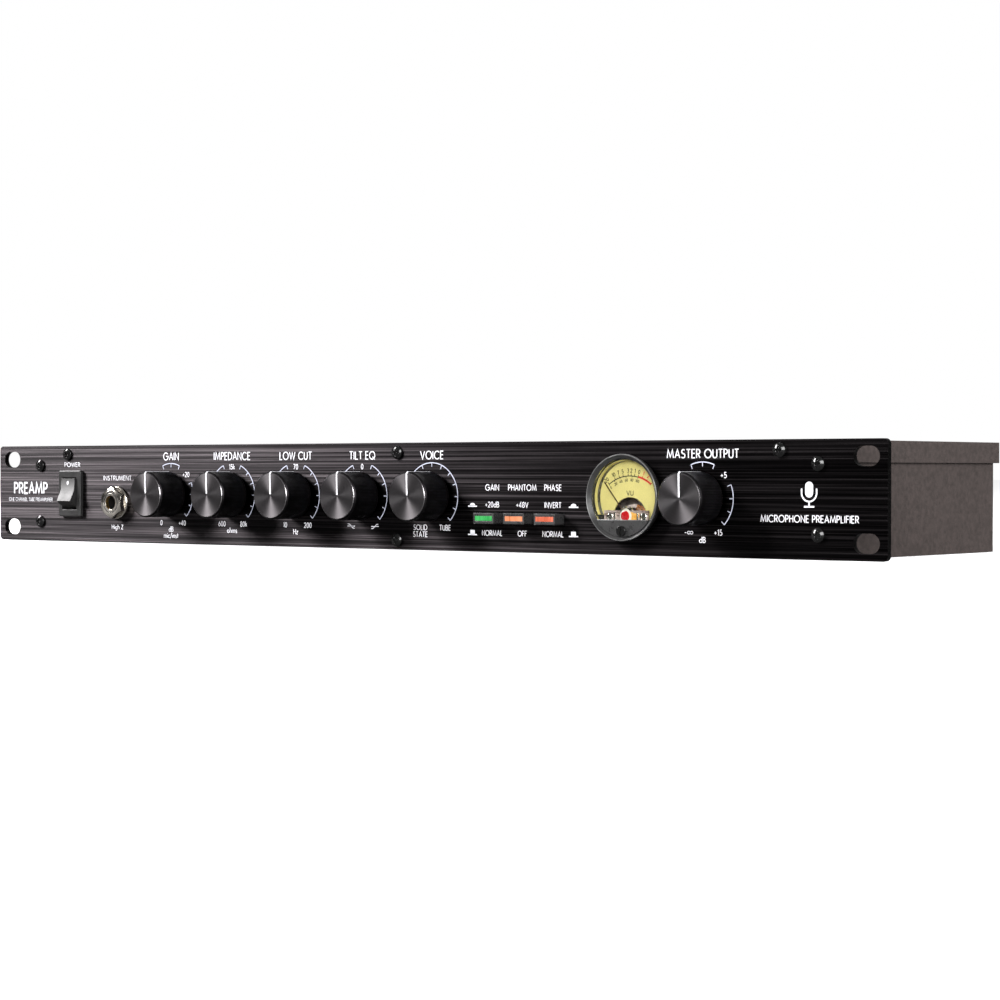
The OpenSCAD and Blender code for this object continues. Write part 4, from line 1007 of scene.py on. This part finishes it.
class PREAMP_OT_jack(PreampOperator, bpy.types.Operator):
    """Finishes the instrument jack and the rear jack, and adds the rolled lip of each bore"""
    bl_idname = "preamp.jack"
    bl_label = "Jacks"

    def make(self, scene):
        nickel, brass = nickel_plate(), plain_brass()
        soften_each([
            ("jack_nuts", "case", nickel, 0.22 * MM, "nickel"),
            ("jack_washers", "case", nickel, 0.18 * MM, "nickel"),
            ("instrument_jack", "case", moulded_black("Jack body", 0.004, 0.008), 0.10 * MM, "dark_plastic"),
            ("output_jack", "case", moulded_black("Output jack body", 0.016, 0.03), 0.10 * MM,
             "dark_plastic")])
        inner, outer = 3.2 * MM, 4.45 * MM
        profile = eased([(inner, -2 * MM), (outer - 0.35 * MM, -2 * MM), (outer - 0.35 * MM, -0.35 * MM),
                         (outer - 0.1 * MM, 0.05 * MM), (inner, 0.12 * MM), (inner - 0.02 * MM, -1.2 * MM)],
                        0.2 * MM, 4)
        finish = np.zeros(len(profile), int)
        finish[profile[:, 0] < inner + 0.05 * MM] = 1
        ring = turned(profile, 64, closed=True, finish=finish)
        front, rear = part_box("instrument_jack"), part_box("output_jack")
        x, z = (front[0].x + front[1].x) / 2, -3.95 * MM
        make_piece("instrument_jack_lip", [placed(ring, front_place(x, z, front[0].y))], "case",
                   [nickel, brass])
        x, z = (rear[0].x + rear[1].x) / 2, -4.9 * MM
        make_piece("output_jack_lip", [placed(ring, rear_place(x, z, rear[1].y))], "case",
                   [nickel, brass])


class PREAMP_OT_buttons(PreampOperator, bpy.types.Operator):
    """Finishes the three push buttons and their lenses"""
    bl_idname = "preamp.buttons"
    bl_label = "Push buttons"

    def make(self, scene):
        look = scene.preamp_buttons
        cap = moulded_black("Button cap plastic", 0.022, 0.036, (0.22, 0.32))
        plunger = pale_plastic()
        lens = {"boost": (look.boost, "lens_green"), "phantom": (look.phantom, "lens_amber"),
                "phase": (look.phase, "lens_red")}
        for name in BUTTONS:
            base, slot = lens[name]
            soften_each([
                (name + "_button", name + "_push", cap, 0.22 * MM, "dark_plastic"),
                (name + "_lens", name + "_push", lens_plastic(name.title() + " lens", base), 0.12 * MM,
                 slot)])
            dress(name + "_plunger", plunger)


class PREAMP_OT_meter(PreampOperator, bpy.types.Operator):
    """Finishes the needle meter, and draws its scale, its bridge and its jewel"""
    bl_idname = "preamp.meter"
    bl_label = "Meter"

    levels = (-20, -10, -7, -5, -3, -2, -1, 0, 1, 2, 3)
    percents = (0, 20, 40, 60, 80, 100)

    def make(self, scene):
        look = scene.preamp_meter
        soften_each([
            ("meter_bezel", "case", moulded_black("Meter bezel plastic", 0.022, 0.032, (0.24, 0.34), 0.1),
             0.22 * MM, "meter_plastic"),
            ("meter_zero_screw", "zero_adjust",
             moulded_black("Zero screw plastic", 0.002, 0.004, (0.08, 0.14)), 0.12 * MM, "black_gloss")])
        dress("meter_window", clear_window())
        dress("meter_scale", scale_card())
        dress("meter_needle", printed_ink("Needle paint", (0.055, 0.025, 0.012)))
        dress("meter_housing", moulded_black("Meter housing plastic"))
        dress("meter_movement", bridge_metal())
        pivot = joint_place("needle_swing")
        self.surround(pivot)
        self.scale(look, pivot)
        self.bridge(pivot)

    def deflection(self, level):
        """How far along the scale a level in decibels stands: the needle moves as the voltage does, so
        (10^(level/20) - 10^(lowest/20)) over the same for the highest."""
        lowest, highest = (10 ** (end / 20) for end in (self.levels[0], self.levels[-1]))
        return (10 ** (level / 20) - lowest) / (highest - lowest)

    def surround(self, pivot):
        """The collar between the window and the scale plate, cream in front and dark silver behind, whose
        dark grey is partly painted shade of the gap before the plate; and lighter tubes along the apron's
        chord and round the bezel's front rim, which are painted highlights of those edges."""
        low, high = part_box("meter_bezel")
        x, z = (low.x + high.x) / 2, (low.z + high.z) / 2
        front, back = -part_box("meter_window")[1].y - 0.1 * MM, -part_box("meter_scale")[1].y
        inner, outer = 14.25 * MM, 14.5 * MM
        split = back + 0.62 * (front - back)
        a = np.radians(np.linspace(-28, 208, 90))
        profile = [(inner, back), (inner, split), (inner + 0.12 * MM, front), (outer, front), (outer, back)]
        grid = np.stack([[(r * np.cos(t), r * np.sin(t), h) for r, h in profile] for t in a])
        ends = [np.broadcast_to(grid[i].mean(0), (1, 5, 3)) for i in (0, -1)]
        collar = patch(np.concatenate([ends[0], grid, ends[1]]), around=True)
        # The back band is silvered, and its dark grey is partly painted shade of the gap before the scale
        # plate.
        finish = np.tile([1, 0, 0, 0, 0], len(grid) + 1)
        make_piece("meter_collar", [placed(collar._replace(finish=finish), front_place(x, z, 0))], "case",
                   [scale_card(), surface_finish("Silvered collar with painted gap shade", grey(0.03), grey(0.16), (500, 500, 500),
                                                 (0.2, 0.35), metallic=0.3)])
        # One lighter tube runs along the apron's chord and one runs round the bezel's front rim. Both are
        # painted highlights of those edges, glossy but lighter than the bezel.
        chord = pivot.z - 0.38 * MM
        reach = 12.1 * MM
        path = [(-reach, 0, 0), (-reach * 0.97, 0, 0), (reach * 0.97, 0, 0), (reach, 0, 0)]
        edge = tube(path, [0.05 * MM, 0.2 * MM, 0.2 * MM, 0.05 * MM], 10)
        rim = np.column_stack([ring_points(16.62 * MM, 120), np.full(120, 6.34 * MM)])
        make_piece("bezel_highlight_edges", [placed(edge, front_place(x, chord, -5.82 * MM)),
                                   placed(tube(rim, 0.13 * MM, 10, closed=True), front_place(x, z, 0))],
                   "case",
                   [moulded_black("Polished edge with painted highlight", 0.09, 0.15, (0.15, 0.25), 0.4)])

    def scale(self, look, pivot):
        """The arc, its marks and figures, about the needle's pivot: p = r (sin t, cos t)."""
        radius, half = look.scale_radius, look.half_sweep
        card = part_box("meter_scale")[0].y
        thick = 0.03 * MM
        zero = self.deflection(0)

        def at(share, r):
            t = half * (2 * share - 1)
            return r * math.sin(t), r * math.cos(t)

        def sweep(start, stop, r, width, finish):
            points = [at(s, r) for s in np.linspace(start, stop, 40)]
            return ribbon(points, width, 0, thick, finish=finish)

        parts = [sweep(0, zero, radius, 0.40 * MM, 0), sweep(zero, 1, radius + 0.12 * MM, 0.75 * MM, 1)]
        for level in self.levels:
            share = self.deflection(level)
            red = int(level > 0)
            mark = [at(share, radius), at(share, radius + 1.0 * MM)]
            parts.append(ribbon(mark, 0.28 * MM, 0, thick, finish=red))
            x, y = at(share, radius + 2.1 * MM)
            turn = -half * (2 * share - 1)
            parts += lettering(str(abs(level)), x, y, 1.45 * MM, 0.19, turn=turn, finish=red)
        for percent in self.percents:
            share = zero * percent / 100
            parts.append(ribbon([at(share, radius - 0.7 * MM), at(share, radius)], 0.2 * MM, 0, thick))
            x, y = at(share, radius - 1.55 * MM)
            parts += lettering(str(percent), x, y, 1.0 * MM, 0.19, turn=-half * (2 * share - 1))
        parts += lettering("VU", 0, 10.1 * MM, 1.8 * MM, 0.15, 1.1)
        print_at = front_place(pivot.x, pivot.z, card)
        make_piece("meter_scale_print", [placed(p, print_at) for p in parts], "case",
                   [printed_ink("Scale black", (0.012, 0.010, 0.008)),
                    printed_ink("Scale red", (0.60, 0.03, 0.02))])

    def bridge(self, pivot):
        """What shows on the bridge: two round screw heads, the jewel in its white ring, and the amber lever;
        and the coil beside it."""
        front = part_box("meter_movement")[0].y
        set_out = front_place(pivot.x, pivot.z, front)
        bright = nickel_plate()
        screws = []
        for x in (-7.6, 8.3):
            head = turned([(0, -0.1), (1.55, -0.1), (1.6, 0.15), (1.2, 0.42), (0.5, 0.45), (0.45, 0.2),
                           (0, 0.18)], 40)
            head = head._replace(points=head.points * MM + np.array([x, 1.0, 0]) * MM)
            screws.append(placed(head, set_out))
        for x, w in ((-5.2, 0.8), (5.6, 0.7)):
            boss = slab(rectangle(w * MM, 3.4 * MM, 0.2 * MM), -0.05 * MM, 0.35 * MM, 0.12 * MM)
            boss = boss._replace(points=boss.points + np.array([x, 1.0, 0]) * MM)
            screws.append(placed(boss, set_out))
        make_piece("bridge_screws", screws, "case", [bright])
        ring = slab(ring_points(2.75 * MM, 48) + [0.25 * MM, 0], -0.05 * MM, 0.22 * MM, 0.1 * MM)
        down = np.linspace(0, math.pi, 17)[::-1]
        jewel = turned([(2.05 * math.sin(a), 0.2 + 0.36 * math.cos(a)) for a in down], 48)
        jewel = jewel._replace(points=jewel.points * MM)
        lift = np.array([-0.2, 1.2, 0]) * MM
        make_piece("jewel_ring", [placed(ring._replace(points=ring.points + lift), set_out)], "case",
                   [pale_plastic()])
        make_piece("pivot_jewel", [placed(jewel._replace(points=jewel.points + lift), set_out)], "case",
                   [jewel_red()])
        lever = eased([(1.6, -0.9), (4.9, -0.6), (6.6, 1.2), (6.2, 2.4), (4.4, 2.2), (2.2, 3.0)], 0.6)
        lever = slab(lever * MM, -0.05 * MM, 0.16 * MM, 0.08 * MM)
        make_piece("zero_lever", [placed(lever, set_out)], "case", [amber_lacquer()])
        fork = []
        for bend in ([(-2.6, 2.6), (-1.6, 4.3), (-0.3, 4.9), (0.5, 4.0), (0.2, 3.2)],
                     [(0.4, 3.4), (1.4, 4.5), (2.6, 4.3), (3.2, 3.3)]):
            path = eased(bend, 0.7, 6, closed=False)
            path = np.column_stack([path, np.full(len(path), -0.25)]) * MM
            fork.append(placed(tube(path, 0.30 * MM, 8), set_out))
        make_piece("pivot_fork", fork, "case", [bright])
        a = np.radians(np.linspace(50, 6, 30))
        reach = (5.3 + 1.6 * np.linspace(0, 1, 30)) * MM
        behind_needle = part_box("meter_needle")[0].y + 2.5 * MM
        centre_line = np.stack([reach * np.cos(a), reach * np.sin(a) + 0.6 * MM, np.full(30, 0.0)], -1)
        wires = []
        for i, (u, w) in enumerate([(0, 0), (0.55, 0.25), (-0.5, 0.2), (0.15, -0.5), (0.9, -0.25)]):
            wave = 0.12 * np.sin(np.linspace(0, 7, 30) + i)[:, None] * np.array([0.6, 1, 0.4])
            path = centre_line + (np.array([u * 0.7, u, w]) + wave) * MM
            wires.append(placed(tube(path, 0.33 * MM, 8), front_place(pivot.x, pivot.z, behind_needle)))
        make_piece("coil_wires", wires, "case", [copper_wire()])


class PREAMP_OT_printing(PreampOperator, bpy.types.Operator):
    """Prints the names, the dials and the figures on the front panel"""
    bl_idname = "preamp.printing"
    bl_label = "Printing"

    titles = {"gain": "GAIN", "impedance": "IMPEDANCE", "low_cut": "LOW CUT", "tilt": "TILT EQ",
              "voice": "VOICE", "master": "MASTER OUTPUT"}
    # the rows of text in each spot round a dial
    figures = {
        "gain": {"low": ["0"], "high": ["+40"], "under": ["dB", "mic/inst"], "gap": ["+20"]},
        "impedance": {"low": ["600"], "high": ["80k"], "under": ["ohms"], "top": ["15k"]},
        "low_cut": {"low": ["10"], "high": ["200"], "under": ["Hz"], "top": ["70"]},
        "tilt": {"top": ["0"]},
        "voice": {"low": ["SOLID", "STATE"], "high": ["TUBE"]},
        "master": {"low": ["-~"], "high": ["+15"], "under": ["dB"], "gap": ["+5"]}}
    # angles from upright, in degrees, where each knob's arc is drawn
    arcs = {"gain": [(-135, -67.5), (-22.5, 22.5), (67.5, 135)], "impedance": [(-135, -22.5), (22.5, 135)],
            "low_cut": [(-135, -22.5), (22.5, 135)], "tilt": [(-135, -22.5), (22.5, 135)],
            "voice": [(-135, 135)], "master": [(-135, -67.5), (-22.5, 22.5), (67.5, 135)]}
    # each button's name, what it does when in, and what it does when out
    button_rows = {"boost": ("GAIN", "+20dB", "NORMAL"), "phantom": ("PHANTOM", "+48V", "OFF"),
                   "phase": ("PHASE", "INVERT", "NORMAL")}
    # (text, what it stands at, above it or below, width of the letters)
    labels = [("POWER", "rocker_frame", True, 1.2), ("INSTRUMENT", "instrument_jack", True, 1.22),
              ("High Z", "instrument_jack", False, 1.05)]

    def make(self, scene):
        look = scene.preamp_print
        ink = printed_ink("White ink", look.ink)
        dial_ink = printed_ink("Pale blue ink", look.dial_ink)
        on_panel = front_place(0, 0)
        thick = look.ink_height
        words, dials = [], []
        for name in KNOBS:
            centre = middle(name + "_knob")
            words += lettering(self.titles[name], centre.x, centre.z + look.title_rise,
                               look.title_height, 0.135)
            for spot, rows in self.figures[name].items():
                x, z = self.dial_spots(look)[spot]
                for row, text in enumerate(rows):
                    words += lettering(text, centre.x + x, centre.z + z - row * look.row_step,
                                       look.label_height, 0.13)
            for start, stop in self.arcs[name]:
                dials += self.dial(centre, look.dial_radius, start, stop, thick)
        make_piece("control_names", [placed(p, on_panel) for p in words], "case", [ink])
        make_piece("dial_scales", [placed(p, on_panel) for p in dials], "case", [dial_ink])
        legends = self.button_words(look)
        for text, node, above, wide in self.labels:
            low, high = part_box(node)
            z = high.z + look.label_gap if above else low.z - look.label_gap
            legends += lettering(text, middle(node).x, z, look.small_height, 0.13, wide)
        legends += self.push_signs(look, thick) + self.tilt_signs(look, thick)
        make_piece("legends", [placed(p, on_panel) for p in legends], "case", [ink])
        self.name_plate(on_panel, ink, thick)

    def dial_spots(self, look):
        """Where the text round a dial starts, right of and above the knob's axis."""
        radius, turn = look.gap_radius, look.gap_angle
        return {"low": (-look.low_reach, -look.figure_drop), "high": (look.high_reach, -look.figure_drop),
                "under": (0, -look.figure_drop - look.row_step), "top": (0, look.figure_rise),
                "gap": (radius * math.sin(turn), radius * math.cos(turn))}

    def button_words(self, look):
        """Three rows of words at each button."""
        rows = ((look.name_rise, look.name_height, 0.93), (look.in_rise, look.label_height, 0.9),
                (-look.out_drop, look.label_height, 0.87))
        words = []
        for button, texts in self.button_rows.items():
            centre = middle(button + "_button")
            for text, (rise, height, wide) in zip(texts, rows):
                words += lettering(text, centre.x, centre.z + rise, height, 0.13, wide)
        return words

    def dial(self, centre, radius, start, stop, thick):
        """An arc with a mark inwards every 22.5 degrees: p = centre + r (sin t, cos t)."""
        middle_point = np.array([centre.x, centre.z])

        def at(degrees, r):
            t = np.radians(degrees)
            return middle_point + r * np.array([math.sin(t), math.cos(t)])

        parts = [ribbon([at(t, radius) for t in np.linspace(start, stop, 12 + int(stop - start) // 5)],
                        0.36 * MM, 0, thick)]
        for t in np.arange(start, stop + 1, 22.5):
            parts.append(ribbon([at(t, radius), at(t, radius - 1.7 * MM)], 0.30 * MM, 0, thick))
        return parts

    def push_signs(self, look, thick):
        """A low mound where a button is in and a tall block where it is out, each on a line."""
        first, last = middle("boost_button"), middle("phase_button")
        a = np.linspace(0, np.pi, 17)
        mound = np.stack([1.35 * np.cos(a), -0.15 + 0.95 * np.sin(a)], -1)
        block = eased([(-1.2, -0.5), (1.2, -0.5), (1.2, 1.35), (-1.2, 1.35)], 0.25)
        line = np.array([(-2.3, -0.55), (2.3, -0.55)])
        parts = []
        for x in (first.x - look.sign_reach, last.x + look.sign_reach):
            for shape, rise in ((mound, look.in_rise), (block, -look.out_drop)):
                place = np.array([x, first.z + rise - 0.2 * MM])
                parts.append(self.flat_shape(shape * MM + place, thick))
                parts.append(ribbon(line * MM + place, 0.5 * MM, 0, thick))
        return parts

    def tilt_signs(self, look, thick):
        """The two ways the tone can tilt: a level line with a slope across it."""
        centre = middle("tilt_knob")
        parts = []
        for x, lean in ((-look.low_reach, -1), (look.high_reach, 1)):
            place = np.array([centre.x + x, centre.z - look.figure_drop])
            parts.append(ribbon(np.array([(-2.1, 0), (2.1, 0)]) * MM + place, 0.26 * MM, 0, thick))
            bend = np.array([(-1.9, -0.95), (-0.9, -0.85), (0.9, 0.85), (1.9, 0.95)]) * [1, lean]
            parts.append(ribbon(eased(bend, 0.5, 5, closed=False) * MM + place, 0.28 * MM, 0, thick))
        return parts

    def flat_shape(self, outline, thick):
        """A filled shape as thin as ink."""
        return slab(outline, 0, thick, 0.2 * thick, steps=1)

    def name_plate(self, on_panel, ink, thick):
        """Plain words for what the unit is, at the left, and a plain microphone sign at the right."""
        left_sign, right_sign = -219.6 * MM, 208.5 * MM
        words = lettering("PREAMP", left_sign, 2.4 * MM, 5.0 * MM, 0.16)
        words += lettering("ONE CHANNEL TUBE PREAMPLIFIER", left_sign, -2.9 * MM, 1.5 * MM, 0.12)
        words += lettering("MICROPHONE PREAMPLIFIER", right_sign, -7.2 * MM, 2.5 * MM, 0.13)
        x, z = right_sign, 2.6 * MM
        halves = [arc(0, 2.2, 1.7, 1.7, 0, 180, 13), arc(0, -0.2, 1.7, 1.7, 180, 360, 13)]
        head = np.vstack(halves) * MM + [x, z]
        words.append(self.flat_shape(head, thick))
        cradle = run((-3.2, 1.4), arc(0, -0.2, 3.2, 3.2, 180, 360, 21), (3.2, 1.4)) * MM + [x, z]
        words.append(ribbon(cradle, 0.6 * MM, 0, thick))
        for line in (((0, -3.4), (0, -5.2)), ((-2.2, -5.3), (2.2, -5.3))):
            words.append(ribbon(np.array(line) * MM + [x, z], 0.6 * MM, 0, thick))
        make_piece("name_plate", [placed(p, on_panel) for p in words], "case", [ink])


class PREAMP_OT_rear(PreampOperator, bpy.types.Operator):
    """Finishes the rear connectors, and prints their names"""
    bl_idname = "preamp.rear"
    bl_label = "Rear connectors"

    def make(self, scene):
        shell = surface_finish("Black chrome shell", grey(0.012), grey(0.03), (900, 900, 900), (0.2, 0.32),
                               metallic=0.6, relief=0.004 * MM)
        soften_each([
            ("mains_inlet", "case", moulded_black("Inlet plastic", 0.010, 0.018), 0.20 * MM, "inlet_plastic"),
            ("fuse_drawer", "fuse_holder", moulded_black("Fuse drawer plastic", 0.012, 0.022), 0.15 * MM,
             "inlet_plastic"),
            ("mic_input", "case", shell, 0.20 * MM, "connector_metal"),
            ("line_output", "case", shell, 0.20 * MM, "connector_metal"),
            ("mic_input_latch", "latch", zinc_plate(), 0.15 * MM, "nickel")])
        look = scene.preamp_print
        words = []
        flange_middle = 16.6 * MM
        for text, node in (("MIC INPUT", "mic_input"), ("LINE OUTPUT", "line_output"),
                           ("OUTPUT", "output_jack"), ("MAINS", "mains_inlet")):
            # local right is the unit's left, seen from behind
            words += lettering(text, -middle(node).x, flange_middle, 1.9 * MM, 0.13)
        place = rear_place(0, 0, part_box("top_cover")[1].y)
        make_piece("rear_legends", [placed(p, place) for p in words], "case",
                   [printed_ink("Rear ink", look.ink)])


class PREAMP_OT_inside(PreampOperator, bpy.types.Operator):
    """Gives what is inside the case its finishes"""
    bl_idname = "preamp.inside"
    bl_label = "Inside"

    def make(self, scene):
        zinc, nickel, board = zinc_plate(), nickel_plate(), circuit_board()
        for nodes, material in (
                (("rocker_terminals",), plain_brass()),
                (tuple(k + "_shaft" for k in KNOBS), zinc),
                (("pot_bodies", "transformer_clamp", "board_screws"), zinc),
                (("pot_nuts", "board_spacers"), nickel),
                (("switch_bodies",), moulded_black("Switch body plastic")),
                (("control_boards", "main_board"), board),
                (("vacuum_tube",), tube_glass()),
                (("tube_socket",), glazed_ceramic()),
                (("power_transformer",), winding_tape()),
                (("capacitors",), shrink_sleeve()),
                (("heat_sink",), moulded_black("Black anodised fins", 0.02, 0.035)),
                (("mains_wires",), wire_sleeve())):
            for node in nodes:
                dress(node, material)


class PREAMP_OT_stage(PreampOperator, bpy.types.Operator):
    """Sets the pale floor, the soft studio lights and the camera"""
    bl_idname = "preamp.stage"
    bl_label = "Stage"

    def make(self, scene):
        look = scene.preamp_stage
        scene.view_settings.view_transform = "Standard"
        self.floor(look)
        self.surroundings(scene)
        # name, place, aim, width, height, share of the key light's power, tint
        for row in (("Overhead softbox", (0.0, 0.45, 1.2), (0, 0.05, 0), 1.2, 0.6, 0.5, (1, 1, 1)),
                    ("Left softbox", (-1.6, -1.0, 1.0), (-0.1, 0, 0), 0.6, 0.9, 3.1, (1, 0.98, 0.985)),
                    ("Fill softbox", (0.85, -1.25, 0.40), (0.05, 0, 0), 1.0, 0.7, 1.4, (1, 1, 1)),
                    ("Right softbox", (1.5, 0.35, 0.55), (0.2, 0.05, 0), 0.8, 0.8, 0.44, (1, 0.98, 0.97))):
            self.softbox(scene, look.key, *row)
        lens = bpy.data.cameras.new("Studio camera")
        lens.lens = look.lens
        lens.sensor_width = 36
        lens.clip_start = 0.01
        camera = bpy.data.objects.new("Studio camera", lens)
        camera.location = look.camera
        camera.rotation_euler = (math.pi / 2 - look.pitch, 0, look.yaw)
        scene.collection.objects.link(camera)
        scene.camera = camera

    def floor(self, look):
        """A wide disc just under the unit, in rows of rings that widen outwards."""
        below = CAD_BOX[0].z - 0.2 * MM
        profile = [(0, below - 0.05), (9, below - 0.05), (9, below), (3, below), (1, below), (0, below)]
        disc = turned(profile, 64)
        darker = tuple(0.97 * c for c in look.floor)
        pale = surface_finish("Pale floor", darker, look.floor, (40, 40, 40), (0.6, 0.75), specular=0.2)
        self.dim_in_reflections(pale)
        mesh = bpy.data.meshes.new("Floor")
        mesh.from_pydata(disc.points, [], disc.quads)
        merge(mesh)
        mesh.materials.append(pale)
        floor = bpy.data.objects.new("Floor", mesh)
        bpy.context.scene.collection.objects.link(floor)

    def dim_in_reflections(self, material):
        """The floor throws back less light than it shows, as a studio's sweep does past its lit middle."""
        tree = material.node_tree
        shader = next(n for n in tree.nodes if n.type == "BSDF_PRINCIPLED")
        base = shader.inputs["Base Color"].links[0].from_socket
        seen = add(tree, "LightPath").outputs["Is Camera Ray"]
        mix = add(tree, "Mix", {0: seen, 6: (0.10, 0.10, 0.10, 1), 7: base}, data_type="RGBA")
        tree.links.new(mix.outputs[2], shader.inputs["Base Color"])
        lift = add(tree, "Mix", {0: seen, 6: (0, 0, 0, 1), 7: (0.72, 0.72, 0.72, 1)}, data_type="RGBA")
        tree.links.new(lift.outputs[2], shader.inputs["Emission Color"])
        shader.inputs["Emission Strength"].default_value = 1.0

    def surroundings(self, scene):
        """White behind the unit; for reflections, light above that fades to grey at the horizon."""
        world = bpy.data.worlds.new("Studio")
        scene.world = world
        world.use_nodes = True
        tree = world.node_tree
        tree.nodes.clear()
        way = add(tree, "TexCoord").outputs["Generated"]
        up = add(tree, "SeparateXYZ", {0: way}).outputs[2]
        rise = add(tree, "MapRange", {"Value": up, "From Min": 0.0, "From Max": 0.8, "To Min": 0.02,
                                      "To Max": 0.25})
        seen = add(tree, "LightPath").outputs["Is Camera Ray"]
        level = add(tree, "Mix", {0: seen, 2: rise.outputs[0], 3: 1.0}, data_type="FLOAT")
        light = add(tree, "Background", {"Color": (1, 1, 1, 1), "Strength": level.outputs[0]})
        out = tree.nodes.new("ShaderNodeOutputWorld")
        tree.links.new(light.outputs[0], out.inputs["Surface"])

    def softbox(self, scene, key, name, place, aim, width, height, share, tint):
        data = bpy.data.lights.new(name, "AREA")
        data.shape = "RECTANGLE"
        data.size, data.size_y = width, height
        data.energy = key * share
        data.color = tint
        light = bpy.data.objects.new(name, data)
        light.location = place
        light.rotation_euler = (Vector(aim) - Vector(place)).to_track_quat("-Z", "Y").to_euler()
        scene.collection.objects.link(light)


OPERATORS = (PREAMP_OT_stage, PREAMP_OT_enclosure, PREAMP_OT_knobs, PREAMP_OT_power_switch, PREAMP_OT_jack,
             PREAMP_OT_buttons, PREAMP_OT_meter, PREAMP_OT_printing, PREAMP_OT_rear, PREAMP_OT_inside)


class PREAMP_PT_sidebar(bpy.types.Panel):
    """Lists the makers of the pieces, and the settings they read"""
    bl_idname = "PREAMP_PT_sidebar"
    bl_label = "Preamp"
    bl_space_type = "VIEW_3D"
    bl_region_type = "UI"
    bl_category = "Preamp"

    def draw(self, context):
        for operator in OPERATORS:
            self.layout.operator(operator.bl_idname)
        for key in SETTINGS:
            settings = getattr(context.scene, key)
            box = self.layout.box()
            for name in settings.bl_rna.properties.keys():
                if name not in {"rna_type", "name"}:
                    box.prop(settings, name)


def register():
    for cls in (*SETTINGS.values(), *OPERATORS, PREAMP_PT_sidebar):
        bpy.utils.register_class(cls)
    for key, cls in SETTINGS.items():
        setattr(bpy.types.Scene, key, PointerProperty(type=cls))


def unregister():
    for key in SETTINGS:
        delattr(bpy.types.Scene, key)
    for cls in (PREAMP_PT_sidebar, *reversed(OPERATORS), *SETTINGS.values()):
        bpy.utils.unregister_class(cls)


def main():
    register()
    for operator in OPERATORS:
        group, name = operator.bl_idname.split(".")
        getattr(getattr(bpy.ops, group), name)()


if __name__ == "__main__":
    main()
